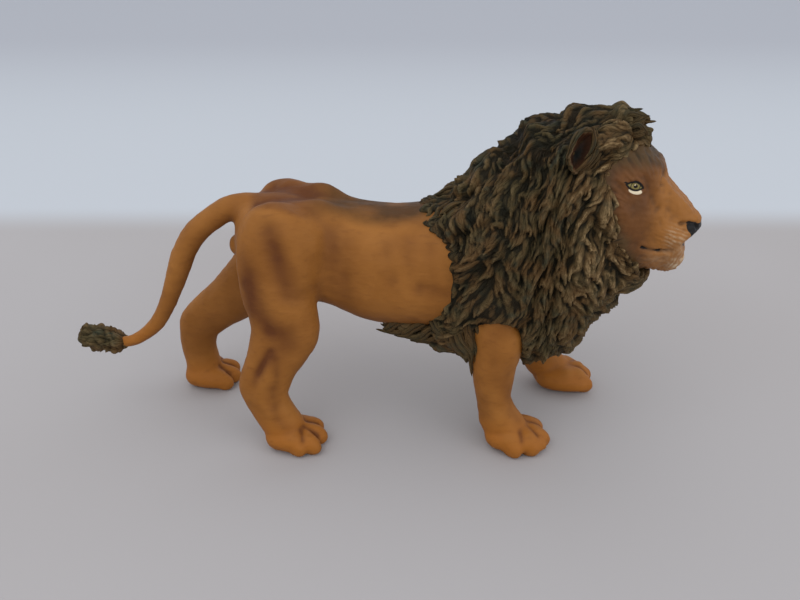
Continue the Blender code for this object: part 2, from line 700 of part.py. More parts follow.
def mane_solid():
    """The ruff of hair from the hem on the ribs to the rim round the face."""
    rings = net_rings(mane_place(MANE_SHARES), MANE_COUNTS)
    forward = np.gradient(rings, axis=0)
    around = (np.roll(rings, -1, 1) - np.roll(rings, 1, 1)) / 2
    outward = np.cross(forward, around)
    outward /= np.maximum(np.linalg.norm(outward, axis=2, keepdims=True), 1e-12)
    from_middle = rings - rings.mean(axis=1, keepdims=True)
    outward *= np.sign((outward * from_middle).sum(axis=(1, 2)))[:, None, None]
    share = np.linspace(0, 1, MANE_COUNTS[0])
    ease = smoothstep(share * 10) * smoothstep((1 - share) * 5)
    window = leg_window(rings)
    lift = LOCK_HEIGHT * (lock_relief(rings) - LOCK_SINK_SHARE) * ease[:, None] * (1 - window)
    lift -= LEG_WINDOW_DEPTH * window
    mane = solid_of_rings("mane", turned(rings + outward * lift[..., None]), "mane")
    for side in (-1, 1):
        join(mane, elbow_tuft(side))
    return mane


def head_place(shares):
    scale = (HEAD_LENGTH, HEAD_HALF_WIDTH, HEAD_HEIGHT)
    return np.asarray(shares) * scale + (NECK_SHARE * BODY_LENGTH, 0, BACK_HEIGHT)


def head_solid():
    """Skull, muzzle and chin, with its neck inside the mane and its two eyes."""
    columns = [[(row[0], *place) for place in row[1:]] for row in HEAD_SHARES]
    rings = net_rings(head_place(columns), HEAD_COUNTS)
    head = solid_of_rings("head", turned(rings), "face")
    chin_size = np.array(CHIN_SIZE_SHARES) * (HEAD_LENGTH, HEAD_HALF_WIDTH, HEAD_HEIGHT)
    join(head, ball("chin", turned(head_place(CHIN_SHARES)), chin_size, "face"))
    for side in (-1, 1):
        centre = turned(head_place(EYE_SHARES) * (1, side, 1))
        join(head, ball("eye", centre, (EYE_RADIUS,) * 3, "eye"))
    return head


def ear_solid(name, side):
    """A round cupped ear, open forward and outward, rooted in the mane."""
    centre = mane_place(EAR_SHARES) * (1, side, 1)
    facing = np.array(EAR_FACING) * (1, side, 1)
    facing /= np.linalg.norm(facing)
    across = np.cross((0.0, 0.0, 1.0), facing)
    across /= np.linalg.norm(across)
    ahead = turned(centre + facing * EAR_RADIUS) - turned(centre)
    ahead /= np.linalg.norm(ahead)
    level = np.cross((0.0, 0.0, 1.0), ahead)
    level /= np.linalg.norm(level)
    axes = np.array([ahead, level, np.cross(ahead, level)])
    place = turned(centre)
    ear = ball(name, place, (EAR_DEPTH / 2, EAR_RADIUS * 0.92, EAR_RADIUS), "ear", axes)
    hollow = ball("hollow", place + ahead * EAR_DEPTH / 2,
                  (EAR_DEPTH / 2, EAR_RADIUS - EAR_WALL, EAR_RADIUS - EAR_WALL), "ear", axes)
    return cut(ear, hollow, keep_tool=False)


def half_block(name, side):
    """A block over one side of the figure, its inner face half a clearance past the middle plane."""
    reach = MANE_HALF_WIDTH + OVERRUN
    stations = np.linspace(-BODY_LENGTH / 2, BODY_LENGTH, MANE_COUNTS[0])
    low = -BACK_HEIGHT / 2
    high = BACK_HEIGHT + MANE_HEIGHT
    corners = [(-side * GAP / 2, low), (side * reach, low), (side * reach, high), (-side * GAP / 2, high)]
    rings = np.array([[(x, y, z) for y, z in corners] for x in stations])
    return solid_of_rings(name, turned(rings))


def build_figure():
    """Shape each piece whole, then cut every seat with the neighbour's clearance room."""
    trunk = trunk_solid()
    trunk_room = swollen(trunk, "torso_room")
    tail = tail_solid()
    tail_room = swollen(tail, "tail_room")

    legs = {}
    hind = (HIND_LEG_HALF_DEPTH, HIND_LEG_HALF_WIDTH, HIND_PAW_LENGTH, HIND_PAW_HALF_WIDTH)
    fore = (FORE_LEG_HALF_DEPTH, FORE_LEG_HALF_WIDTH, FORE_PAW_LENGTH, FORE_PAW_HALF_WIDTH)
    for name, shares, sizes, place, side in (
        ("right_hind_leg", RIGHT_HIND_SHARES, hind, HIND_PEG_SHARES, -1),
        ("left_hind_leg", LEFT_HIND_SHARES, hind, HIND_PEG_SHARES, 1),
        ("right_foreleg", RIGHT_FORE_SHARES, fore, FORE_PEG_SHARES, -1),
        ("left_foreleg", LEFT_FORE_SHARES, fore, FORE_PEG_SHARES, 1),
    ):
        leg = leg_solid(name, shares, *sizes)
        leg_room = swollen(leg, name + "_room")
        cut(leg, trunk_room)
        cut(leg, tail_room)
        main_body(leg)
        outer = STANCE_HALF_WIDTH
        inner = outer - 2 * PEG_RADIUS - PEG_LENGTH
        join(leg, peg("peg", place, side, inner, outer, PEG_RADIUS))
        cut(trunk, peg("socket", place, side, inner - GAP, outer, PEG_RADIUS + GAP), keep_tool=False)
        legs[name] = (leg, leg_room)

    cut(trunk, tail_room)
    tuft = tuft_solid()
    cut(tuft, tail_room)

    head = head_solid()
    head_room = swollen(head, "head_room")
    cut(head, trunk_room)
    mane = mane_solid()
    ears = {}
    for name, side in (("right_ear", -1), ("left_ear", 1)):
        ear = ear_solid(name, side)
        ear_room = swollen(ear, name + "_room")
        cut(ear, head_room)
        cut(mane, ear_room)
        ears[name] = ear
    for room in (legs["right_foreleg"][1], legs["left_foreleg"][1], trunk_room, head_room):
        cut(mane, room)
    main_body(mane)
    halves = []
    for name, side in (("mane_right_half", 1), ("mane_left_half", -1)):
        half = bpy.data.objects.new(name, mane.data.copy())
        bpy.context.scene.collection.objects.link(half)
        halves.append(cut(half, half_block("far_side", side), keep_tool=False))
    bpy.data.objects.remove(mane, do_unlink=True)

    pieces = [trunk, tail, tuft, head, *halves, *ears.values(), *(leg for leg, _ in legs.values())]
    for room in [thing for thing in bpy.data.objects if thing.name.endswith("_room")]:
        bpy.data.objects.remove(room, do_unlink=True)
    for piece in pieces:
        rounded(main_body(piece))
    return pieces


def stand_on_origin(pieces):
    """Hang every piece on one empty, moved so that the figure's box is centred on the origin."""
    corners = []
    for piece in pieces:
        points = np.empty(len(piece.data.vertices) * 3)
        piece.data.vertices.foreach_get("co", points)
        corners.append(points.reshape(-1, 3))
    points = np.concatenate(corners)
    middle = (points.min(axis=0) + points.max(axis=0)) / 2
    figure = bpy.data.objects.new("figure", None)
    bpy.context.scene.collection.objects.link(figure)
    figure.location = (-middle[0], -middle[1], 0)
    for piece in pieces:
        piece.parent = figure


clear_scene()
stand_on_origin(build_figure())
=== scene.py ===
import math

import bpy
import numpy as np
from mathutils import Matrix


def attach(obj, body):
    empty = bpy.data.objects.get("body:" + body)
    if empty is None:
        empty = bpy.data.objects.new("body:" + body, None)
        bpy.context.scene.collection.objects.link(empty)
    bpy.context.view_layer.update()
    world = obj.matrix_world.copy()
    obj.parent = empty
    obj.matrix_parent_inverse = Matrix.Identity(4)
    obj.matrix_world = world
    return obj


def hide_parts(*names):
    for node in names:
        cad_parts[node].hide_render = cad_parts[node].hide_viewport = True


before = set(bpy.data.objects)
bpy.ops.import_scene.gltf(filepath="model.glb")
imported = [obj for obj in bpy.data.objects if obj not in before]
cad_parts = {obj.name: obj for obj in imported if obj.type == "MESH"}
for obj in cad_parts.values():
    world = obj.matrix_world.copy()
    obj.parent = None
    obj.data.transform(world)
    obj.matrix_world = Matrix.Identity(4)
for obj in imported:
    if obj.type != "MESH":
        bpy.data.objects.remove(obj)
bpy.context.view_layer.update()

# Shapes are worked out in millimetres, with the middle of the body near x = 0
MM = 0.001
SHIFT = np.array([2.3206, 0.0, 0.0])
rng = np.random.default_rng(7)
# Rings of a ball, and points in each
BALL_COUNTS = (14, 20)
# Grain of each skin grown over overlapping forms, its rounds of smoothing, and the rounds that
# even out its hollows
COAT_VOXEL = 0.46
COAT_ROUNDS = 34
COAT_HOLLOW_ROUNDS = 4
FACE_VOXEL = 0.24
FACE_ROUNDS = 14
FACE_HOLLOW_ROUNDS = 5

# Trunk rings: x, top, bottom, half width, squareness
TRUNK = (
    (-30.8, 52, 45, 3, 2.2), (-30, 54.8, 41.5, 6.5, 2.2), (-28.4, 57, 38.4, 9.2, 2.3),
    (-25, 58.2, 36, 10.6, 2.5), (-20, 58.3, 35, 11, 2.6), (-15, 57.6, 34.2, 11, 2.6),
    (-10, 56.8, 32.8, 10.8, 2.5), (-5, 56, 30, 11.2, 2.4), (0, 55.4, 28.5, 12.2, 2.4),
    (5, 55.2, 28, 12.8, 2.4), (10, 55.4, 27.6, 13.2, 2.4), (16, 56.8, 27.4, 13.2, 2.4),
    (22, 58.2, 28, 12.6, 2.4), (28, 58.4, 30, 11, 2.3), (34, 58, 33, 9, 2.2), (38, 57, 37, 6, 2.1),
)

# Steps down a leg and points round it where its strokes are placed
LEG_STEPS = 120
LEG_AROUND = 72
# Leg rings from hip or shoulder down: x, y, z, half depth, half width
RIGHT_HIND = (
    (-16.4, -7.5, 57, 4.6, 2.6), (-17.4, -8.1, 54.6, 8.6, 4.8), (-19.4, -8.9, 48.5, 10, 5.6),
    (-20.9, -9.9, 40, 8.4, 5.8), (-20.0, -10.7, 34, 7.8, 5.4), (-19.9, -11.3, 30, 7.7, 4.8),
    (-21.4, -11.9, 26, 7, 4.3), (-23.6, -12.5, 21, 5.9, 3.8), (-25.3, -12.9, 15.8, 5.7, 3.4),
    (-24.7, -13.1, 12, 5.1, 3.3), (-22.9, -13.3, 8, 4.9, 3.8), (-21.2, -13.3, 4.6, 4.8, 4.4),
    (-20.6, -13.3, 2, 4, 4.2),
)
LEFT_HIND = (
    (-15.5, 7.6, 57.2, 5, 2.8), (-16.5, 8.2, 54.6, 9, 5), (-19.3, 8.9, 48.8, 10, 5.6),
    (-22.5, 9.9, 42.5, 9.4, 5.8), (-26.3, 10.7, 36.3, 9, 5.4), (-31.2, 11.3, 31.4, 8, 5),
    (-36.6, 11.9, 27, 6.8, 4.5), (-42, 12.5, 22.8, 5.8, 4), (-46.6, 12.9, 18.2, 5.2, 3.6),
    (-47.9, 13.1, 12.8, 4.7, 3.5), (-47.6, 13.3, 8, 4.5, 3.8), (-47.2, 13.3, 4.6, 4.8, 4.4),
    (-47, 13.3, 2, 4.2, 4.2),
)
RIGHT_FORE = (
    (28.6, -8.6, 43, 3.4, 1.6), (28.5, -9.6, 41, 6, 3.2), (28.3, -11.0, 38, 6.7, 4.4),
    (28.2, -12, 34, 6.5, 4.6), (28, -12.6, 27.5, 5.7, 4.5), (27.6, -12.9, 23, 5.2, 4.1),
    (27.5, -12.9, 19, 4.9, 3.9), (27.9, -13, 12.9, 4.1, 3.5), (29.4, -13.2, 8.2, 4.5, 3.8),
    (31.4, -13.3, 4.8, 4.8, 4.2), (32.4, -13.3, 2, 4.6, 4.2),
)
LEFT_FORE = (
    (28.6, 8.6, 43, 3.4, 1.6), (28.6, 9.6, 41, 6, 3.2), (29, 11, 37.5, 6.7, 4.4),
    (30.2, 12, 32.5, 6.4, 4.6), (32.6, 12.5, 27, 5.8, 4.4), (35.6, 12.8, 21.3, 5.3, 4.1),
    (38.8, 12.9, 15.5, 4.9, 3.9), (42.2, 13.1, 10.4, 4.7, 3.8), (45, 13.2, 7, 4.7, 4),
    (47.4, 13.3, 4.6, 4.6, 4.3), (48.6, 13.3, 2, 4, 4.2),
)

# Paw rings from the heel: x in shares of its length, underside, top, half width in shares
PAW = (
    (0.01, 1.5, 5.0, 0.45), (0.10, 0.1, 6.4, 0.72), (0.30, -0.5, 7.0, 0.92),
    (0.55, -0.6, 6.6, 1), (0.75, -0.4, 5.4, 0.93), (0.90, 0.4, 3.6, 0.66),
)
# Toes from the outer one in: x in shares of the paw's length, y of its half width, turn outward
HIND_TOES = ((0.53, 0.66, 40), (0.76, 0.56, 28), (0.83, -0.02, 4), (0.74, -0.58, -14))
FORE_TOES = ((0.36, 0.70, 48), (0.61, 0.62, 34), (0.79, 0.12, 10), (0.74, -0.52, -12))

# Tail and tuft rings in the middle plane: x, z, radius
TAIL = (
    (-16, 52.4, 2.0), (-20.6, 53.6, 2.7), (-24, 54.7, 3.1), (-27.1, 55.6, 3.2), (-30.2, 55.4, 3),
    (-33.6, 54.2, 2.75), (-39.2, 50.2, 2.7), (-42.5, 46.3, 2.7), (-44.9, 41.4, 2.6),
    (-47.2, 35.9, 2.25), (-49.7, 30.7, 1.95), (-52.7, 26.1, 1.8), (-56.6, 22.5, 1.55),
    (-61, 20.6, 1.3), (-66.5, 21.3, 1.1),
)
TAIL_RINGS = 110
TAIL_POINTS = 28
TUFT = (
    (-60.4, 20.7, 0.9), (-62.0, 20.4, 2.0), (-64.2, 20.6, 2.6), (-67, 21.6, 2.9), (-70, 22.3, 2.7),
    (-71.6, 22.7, 2.0), (-72.3, 22.9, 0.9),
)

# Mane rings from the hem forward to the face, in shares of its size from the withers:
# places for crest, upper side, side, lower side and chest
MANE_SIZE = (54.0, 18.6, 60.0)
WITHERS = (28.0, 0.0, 58.0)
MANE_SHARES = (
    ((-0.352, 0, -0.058), (-0.296, 0.457, -0.083), (-0.213, 0.645, -0.167), (-0.269, 0.581, -0.4),
     (-0.685, 0, -0.4)),
    ((-0.306, 0, -0.023), (-0.25, 0.484, -0.045), (-0.167, 0.774, -0.158), (-0.231, 0.667, -0.44),
     (-0.593, 0, -0.463)),
    ((-0.204, 0, 0.023), (-0.157, 0.538, -0.013), (-0.074, 0.871, -0.142), (-0.152, 0.737, -0.497),
     (-0.481, 0, -0.497)),
    ((-0.093, 0, 0.106), (-0.056, 0.559, 0.047), (0.019, 0.925, -0.117), (-0.081, 0.769, -0.547),
     (-0.315, 0, -0.522)),
    ((0.006, 0, 0.190), (0.037, 0.581, 0.117), (0.111, 0.968, -0.1), (0.056, 0.796, -0.533),
     (-0.13, 0, -0.557)),
    ((0.111, 0, 0.266), (0.13, 0.602, 0.18), (0.194, 0.989, -0.067), (0.193, 0.774, -0.533),
     (0.056, 0, -0.627)),
    ((0.237, 0, 0.307), (0.241, 0.613, 0.222), (0.278, 0.968, -0.05), (0.3, 0.72, -0.508),
     (0.241, 0, -0.658)),
    ((0.37, 0, 0.318), (0.343, 0.591, 0.233), (0.356, 0.882, -0.033), (0.389, 0.645, -0.442),
     (0.381, 0, -0.567)),
    ((0.481, 0, 0.313), (0.426, 0.538, 0.22), (0.43, 0.73, -0.022), (0.474, 0.548, -0.333),
     (0.478, 0, -0.425)),
    ((0.55, 0, 0.277), (0.458, 0.500, 0.193), (0.481, 0.608, -0.017), (0.57, 0.43, -0.237),
     (0.593, 0, -0.307)),
    ((0.556, 0, 0.22), (0.458, 0.410, 0.17), (0.474, 0.500, -0.017), (0.596, 0.350, -0.197),
     (0.62, 0, -0.24)),
    ((0.481, 0, 0.133), (0.426, 0.215, 0.1), (0.389, 0.215, -0.008), (0.463, 0.188, -0.133),
     (0.537, 0, -0.2)),
)
# The main locks lie like shingles over the mane: the net they are charted on, how many there are
# along and down, their height, length and width, and how far they stray and bend
MAIN_COUNTS = (48, 80)
LOCKS_ALONG = 9
LOCKS_DOWN = 7
LOCK_HEIGHT = 3.4
LOCK_LENGTH = 14.2
LOCK_WIDTH = 8.4
LOCK_WOBBLE = 0.24
LOCK_BEND = 0.35
# The hair parts where a foreleg comes out: how deep, how soft at the edge, and how high up
WINDOW_DEPTH = 3.0
WINDOW_EDGE = 2.0
WINDOW_TOP = 34.6
# Rows and columns of the mane's net, and the mesh width by which a lock's reach is counted
NET_SIZE = (262, 604)
NET_STEP = 0.17
# Layers of hair: spacing, seed and tries of their roots; ranges of length, width and height; roundness
CLUMPS = (2.0, 41, 9000, (5.0, 8.5), (0.95, 1.5), (0.9, 1.6), 0.7)
STRANDS = (1.1, 42, 26000, (2.5, 5.0), (0.5, 0.85), (0.25, 0.5), 0.6)
HAIR_CURL = 0.6
# Heights taken off the main locks, the clumps and the strands, so that the mane keeps its size
MAIN_REST = 0.3
CLUMP_REST = 0.78
STRAND_REST = 0.2
# The share of the fine hair's height that is left at the hem
HEM_SHARE = 0.35
# Rounds that soften the main locks, and those that find what stands out for the paint
MAIN_BLUR = 6
RIDGE_BLUR = 26
# Columns of the flat wall that closes a half of the mane
WALL_COLUMNS = 12
# How the hair lies, as degrees from straight back to straight down
CREST_LAY = 15
SIDE_LAY = 78
BEARD_LAY = 34
BELLY_LAY = -35
BEARD_SHARES = (0.30, 0.56)
BELLY_SHARES = (-0.30, -0.65)
# Head rows: x, crown z, (y, z) for brow, eye, cheek and jaw, and chin z
HEAD = (
    (40, 66, (5, 65), (8, 60), (8, 52), (5, 45.5), 43),
    (46, 71, (6, 69.6), (10, 63), (10.5, 54), (6.5, 45.5), 42.4),
    (51, 72.6, (6.8, 71), (10.8, 64.5), (11, 55), (7.2, 45.8), 42.6),
    (55, 72.2, (6.8, 70.3), (9.8, 64.3), (10.2, 55), (7, 46.2), 43.2),
    (58.5, 70.5, (5.8, 69.0), (7.9, 63.8), (8.3, 54.8), (6.2, 47), 44),
    (61.3, 68.2, (4.3, 66.8), (5.9, 62.2), (6.8, 54.5), (5.4, 47.8), 44.6),
    (63.4, 64.9, (3.2, 64), (4.7, 59.8), (6.1, 54), (4.9, 48), 44.5),
    (65.6, 62.1, (2.9, 61.3), (4.3, 58), (5.6, 53.6), (4.4, 48.4), 45),
    (67.5, 60.2, (2.7, 59.4), (3.9, 56.8), (4.7, 53.2), (3.6, 49), 46.6),
    (69, 58.6, (2.3, 58), (2.8, 56.4), (2.5, 54.9), (1.6, 53.8), 53.3),
    (70, 57.4, (1.2, 57.1), (1.5, 56.6), (1.3, 56.0), (0.8, 55.5), 55.3),
)
# The head's turn to the right, x of the upright line it turns about, and where the turn
# starts and is full
HEAD_TURN = math.radians(22)
TURN_PIVOT = 38
TURN_START = 28
TURN_END = 50


def smoothstep(value):
    """0 up to 0, 1 from 1 on, and three squares less two cubes between them."""
    value = np.clip(value, 0, 1)
    return value * value * (3 - 2 * value)


def curve_points(rows, places):
    """Catmull-Rom blend of four neighbouring rows at each place."""
    index = np.clip(places.astype(int), 0, len(rows) - 4)
    t = (places - index).reshape((-1,) + (1,) * (rows.ndim - 1))
    a, b, c, d = (rows[index + step] for step in range(4))
    return 0.5 * (2 * b + (c - a) * t + (2 * a - 5 * b + 4 * c - d) * t**2 + (3 * b - a - 3 * c + d) * t**3)


def smooth_curve(rows, count):
    """Points of the Catmull-Rom curve through the rows, even in row number."""
    rows = np.asarray(rows, float)
    ends = [2 * rows[:1] - rows[1:2], rows, 2 * rows[-1:] - rows[-2:-1]]
    return curve_points(np.concatenate(ends), np.linspace(0, len(rows) - 1, count))


def middle_line(rows, count):
    """The smooth line through rows of x, z and radius in the middle plane, and its radii."""
    rows = smooth_curve(rows, count)
    return np.stack([rows[:, 0], 0 * rows[:, 0], rows[:, 1]], axis=1), rows[:, 2]


def closed_curve(rows, count):
    """Points of the closed Catmull-Rom curve through the rows."""
    rows = np.asarray(rows, float)
    return curve_points(np.concatenate([rows[-1:], rows, rows[:2]]), np.arange(count) * len(rows) / count)


def circle(count):
    """Even angles over one full turn."""
    return np.arange(count) * 2 * math.pi / count


def turned(points):
    """Points swung toward the right about an upright line in the neck, more and more forward."""
    angle = HEAD_TURN * smoothstep((points[..., 0] - TURN_START) / (TURN_END - TURN_START))
    ahead = points[..., 0] - TURN_PIVOT
    x = TURN_PIVOT + ahead * np.cos(angle) + points[..., 1] * np.sin(angle)
    y = points[..., 1] * np.cos(angle) - ahead * np.sin(angle)
    return np.stack([x, y, points[..., 2]], axis=-1)


def ripple(points, size, seed, waves=24):
    """Soft random hills: a sum of sine waves in random directions, about one hill per size."""
    dice = np.random.default_rng(seed)
    heading = dice.normal(size=(waves, 3))
    pitch = (2 * math.pi / size) * dice.uniform(0.6, 1.2, (waves, 1))
    heading *= pitch / np.linalg.norm(heading, axis=1)[:, None]
    phase = dice.uniform(0, 2 * math.pi, waves)
    return np.sin(points @ heading.T + phase).sum(axis=-1) * math.sqrt(2 / waves)


def tube_faces(along, around):
    """Quads from ring to ring and a fan over each end, whose poles come last."""
    numbers = np.arange(along * around).reshape(along, around)
    near = numbers[:-1]
    far = numbers[1:]
    quads = np.stack([near, far, np.roll(far, -1, 1), np.roll(near, -1, 1)], axis=-1).reshape(-1, 4)
    first = along * around
    fans = []
    for ring, pole, turn in ((numbers[0], first, 1), (numbers[-1], first + 1, -1)):
        fans.append(np.stack([ring, np.roll(ring, -turn), np.full(around, pole)], axis=-1))
    return quads, np.concatenate(fans)


def tube(rings):
    """A closed loft: rings of points joined one to the next, with a pole at each end."""
    along, around = rings.shape[:2]
    quads, fans = tube_faces(along, around)
    points = np.concatenate([rings.reshape(-1, 3), rings[:1].mean(axis=1), rings[-1:].mean(axis=1)])
    return points, quads, fans


def with_poles(values, first, last):
    """Values of a tube's points, followed by those of its two poles."""
    return np.append(values.ravel(), [first, last])


def path_rings(centres, deep_size, wide_size, around):
    """Ovals square to a path: deep in the path's upright plane, wide across it."""
    tangent = np.gradient(centres, axis=0)
    tangent /= np.linalg.norm(tangent, axis=1, keepdims=True)
    across = np.array([0.0, 1.0, 0.0]) - tangent * tangent[:, 1:2]
    across /= np.linalg.norm(across, axis=1, keepdims=True)
    deep = np.cross(across, tangent)
    angle = circle(around)[None, :, None]
    return (centres[:, None] + deep[:, None] * deep_size[:, None, None] * np.cos(angle)
            + across[:, None] * wide_size[:, None, None] * np.sin(angle))


def ball(centre, radii, axes=None):
    """An ellipsoid as rings about its first axis."""
    axes = np.eye(3) if axes is None else np.asarray(axes)
    along, around = BALL_COUNTS
    cap = math.pi / (2 * along)
    latitude = np.linspace(cap, math.pi - cap, along)[:, None]
    angle = circle(around)[None, :]
    local = np.stack([radii[0] * np.cos(latitude) + 0 * angle,
                      radii[1] * np.sin(latitude) * np.cos(angle),
                      radii[2] * np.sin(latitude) * np.sin(angle)], axis=-1)
    return tube(np.asarray(centre, float) + local @ axes)


def joined(parts):
    """Points and faces of several forms as one list."""
    points = []
    faces = []
    start = 0
    for part_points, quads, fans in parts:
        points.append(part_points)
        faces += (quads + start).tolist() + (fans + start).tolist()
        start += len(part_points)
    return np.concatenate(points), faces


def add_object(name, data):
    """A new object in the scene, at the origin and unturned."""
    thing = bpy.data.objects.new(name, data)
    bpy.context.scene.collection.objects.link(thing)
    return thing


def skin_over(parts, voxel):
    """One closed skin of even quads over overlapping forms."""
    points, faces = joined(parts)
    mesh = bpy.data.meshes.new("forms")
    mesh.from_pydata(points.tolist(), [], faces)
    thing = add_object("forms", mesh)
    modifier = thing.modifiers.new("skin", "REMESH")
    modifier.mode = "VOXEL"
    modifier.voxel_size = voxel
    graph = bpy.context.evaluated_depsgraph_get()
    skin = bpy.data.meshes.new_from_object(thing.evaluated_get(graph))
    found = np.empty(len(skin.vertices) * 3)
    skin.vertices.foreach_get("co", found)
    corners = np.empty(len(skin.loops), int)
    skin.loops.foreach_get("vertex_index", corners)
    bpy.data.objects.remove(thing, do_unlink=True)
    for used in (skin, mesh):
        bpy.data.meshes.remove(used)
    return found.reshape(-1, 3), corners.reshape(-1, 4)


def edges_of(quads):
    """Each edge of the quads once, as a pair of point numbers."""
    sides = [quads[:, [corner, (corner + 1) % 4]] for corner in range(4)]
    pairs = np.sort(np.concatenate(sides), axis=1)
    span = pairs.max() + 1
    keys = np.unique(pairs[:, 0] * span + pairs[:, 1])
    return np.stack([keys // span, keys % span], axis=1)


def neighbour_mean(values, edges):
    """The mean of each point's neighbours along the edges."""
    count = len(values)
    a, b = edges.T
    share = np.bincount(a, minlength=count) + np.bincount(b, minlength=count)
    columns = []
    for column in values.reshape(count, -1).T:
        columns.append(np.bincount(a, column[b], count) + np.bincount(b, column[a], count))
    return (np.stack(columns, axis=1) / np.maximum(share, 1)[:, None]).reshape(values.shape)


def relax(points, edges, rounds, softness):
    """Move each point half way to its neighbours' mean, for more rounds where softness is high."""
    for step in range(rounds):
        moving = 0.5 * np.clip(softness * rounds - step, 0, 1)[:, None]
        points = points + moving * (neighbour_mean(points, edges) - points)
    return points


def outward(points, faces):
    """Unit normals at the points, from the crossed diagonals of the quads."""
    corner = points[faces]
    across = np.cross(corner[:, 2] - corner[:, 0], corner[:, 3] - corner[:, 1])
    total = [np.bincount(faces.ravel(), np.repeat(part, 4), len(points)) for part in across.T]
    total = np.stack(total, axis=1)
    return total / np.maximum(np.linalg.norm(total, axis=1, keepdims=True), 1e-9)


def near(points, centre, size):
    """A soft spot: Gaussian of the distance in shares of the sizes."""
    return np.exp(-(((points - np.asarray(centre, float)) / size) ** 2).sum(axis=-1))


def beside(points, line, width):
    """A soft stroke: Gaussian of the distance to a line through the listed places."""
    line = np.asarray(line, float)
    least = np.full(len(points), np.inf)
    for start, end in zip(line[:-1], line[1:]):
        step = end - start
        t = np.clip((points - start) @ step / (step @ step), 0, 1)
        least = np.minimum(least, ((points - start - t[:, None] * step) ** 2).sum(axis=1))
    return np.exp(-least / width**2)


def hollows(points, normals, edges, rounds):
    """How far each point lies below its neighbours, evened out over the given rounds."""
    hollow = ((neighbour_mean(points, edges) - points) * normals).sum(axis=1)
    for _ in range(rounds):
        hollow = neighbour_mean(hollow, edges)
    return hollow


def painted_mesh(name, points, faces, material):
    """A smooth-shaded mesh with one material."""
    mesh = bpy.data.meshes.new(name)
    mesh.from_pydata(points, [], faces)
    mesh.shade_smooth()
    mesh.materials.append(material)
    return mesh


def make_piece(name, points, faces, material, replaced, slot, **paint):
    """A finished piece in metres, painted by its point values, standing for the named solids."""
    mesh = painted_mesh(name, ((points + SHIFT) * MM).tolist(), faces, material)
    for key, values in paint.items():
        layer = mesh.attributes.new(key, "FLOAT", "POINT")
        layer.data.foreach_set("value", np.asarray(values, np.float32))
    piece = add_object(name, mesh)
    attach(piece, "root")
    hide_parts(*replaced)


# Materials

def operator(kind, spare=0.0, swapped=False):
    """A shader operation on two numbers or sockets, as a method of Shade."""
    def combine(self, other=spare):
        pair = (other, self) if swapped else (self, other)
        return self.graph.sum(kind, *pair)
    return combine


class Shade:
    """A shader socket that adds, multiplies and compares as a number does."""

    def __init__(self, graph, socket):
        self.graph = graph
        self.socket = socket

    __add__ = __radd__ = operator("ADD")
    __sub__ = operator("SUBTRACT")
    __rsub__ = operator("SUBTRACT", swapped=True)
    __mul__ = __rmul__ = operator("MULTIPLY")
    __truediv__ = operator("DIVIDE")
    __pow__ = operator("POWER")
    __abs__ = operator("ABSOLUTE")
    upto = operator("MINIMUM")
    atleast = operator("MAXIMUM")
    sine = operator("SINE")

    def rise(self, low, high):
        """0 below low, 1 above high and a soft slope between them."""
        return self.graph.node("ShaderNodeMapRange", {"interpolation_type": "SMOOTHSTEP"},
                               {"Value": self, "From Min": low, "From Max": high})


class Finish:
    """A material under construction."""

    def __init__(self, name, roughness=0.55, specular=0.4):
        self.material = bpy.data.materials.new(name)
        self.material.use_nodes = True
        self.tree = self.material.node_tree
        self.shader = self.tree.nodes["Principled BSDF"]
        self.shader.inputs["Roughness"].default_value = roughness
        self.shader.inputs["Specular IOR Level"].default_value = specular

    def node(self, kind, settings=None, inputs=None, output=0):
        """A node of any type, with its settings and the values or links of its sockets."""
        node = self.tree.nodes.new(kind)
        for key, value in (settings or {}).items():
            setattr(node, key, value)
        for key, value in (inputs or {}).items():
            if isinstance(value, Shade):
                self.tree.links.new(value.socket, node.inputs[key])
            else:
                node.inputs[key].default_value = value
        return Shade(self, node.outputs[output])

    def sum(self, operation, a, b):
        """A Math node on two numbers or sockets."""
        return self.node("ShaderNodeMath", {"operation": operation}, {0: a, 1: b})

    def place(self):
        """Object coordinates of the surface, in metres."""
        return self.node("ShaderNodeTexCoord", output=3)

    def value(self, name):
        """A point value of the mesh by its name."""
        return self.node("ShaderNodeAttribute", {"attribute_name": name}, output=2)

    def noise(self, scale, detail=3.0, stretch=None, at=None):
        """Cloudy noise, with stretch as the scales and the turn of its pattern."""
        at = self.place() if at is None else at
        if stretch is not None:
            scales, turn = stretch
            at = self.node("ShaderNodeMapping", {}, {"Vector": at, "Rotation": turn, "Scale": scales})
        return self.node("ShaderNodeTexNoise", {}, {"Vector": at, "Scale": scale, "Detail": detail,
                                                    "Roughness": 0.55})

    def blend(self, mask, under, over):
        """The paint over in the mask's share, and the paint under in the rest."""
        return self.node("ShaderNodeMix", {"data_type": "RGBA"}, {0: mask, 6: under, 7: over}, output=2)

    def over(self, mask, under, over):
        """Paint laid over another where the mask, cut off at 1, says."""
        return self.blend(mask.upto(1.0), under, over)

    def moved(self, vector, step):
        """A vector with a step added to it."""
        return self.node("ShaderNodeVectorMath", {"operation": "ADD"}, {0: vector, 1: step})

    def axis(self, vector, which):
        """One coordinate of a vector by its number."""
        return self.node("ShaderNodeSeparateXYZ", {}, {0: vector}, which)

    def done(self, colour, height=None, depth=0.0001, roughness=None):
        """The material, with its colour, bumps of a depth in metres, and roughness joined up."""
        self.tree.links.new(colour.socket, self.shader.inputs["Base Color"])
        if roughness is not None:
            self.tree.links.new(roughness.socket, self.shader.inputs["Roughness"])
        if height is not None:
            bump = self.node("ShaderNodeBump", {}, {"Height": height, "Strength": 1.0, "Distance": depth})
            self.tree.links.new(bump.socket, self.shader.inputs["Normal"])
        return self.material


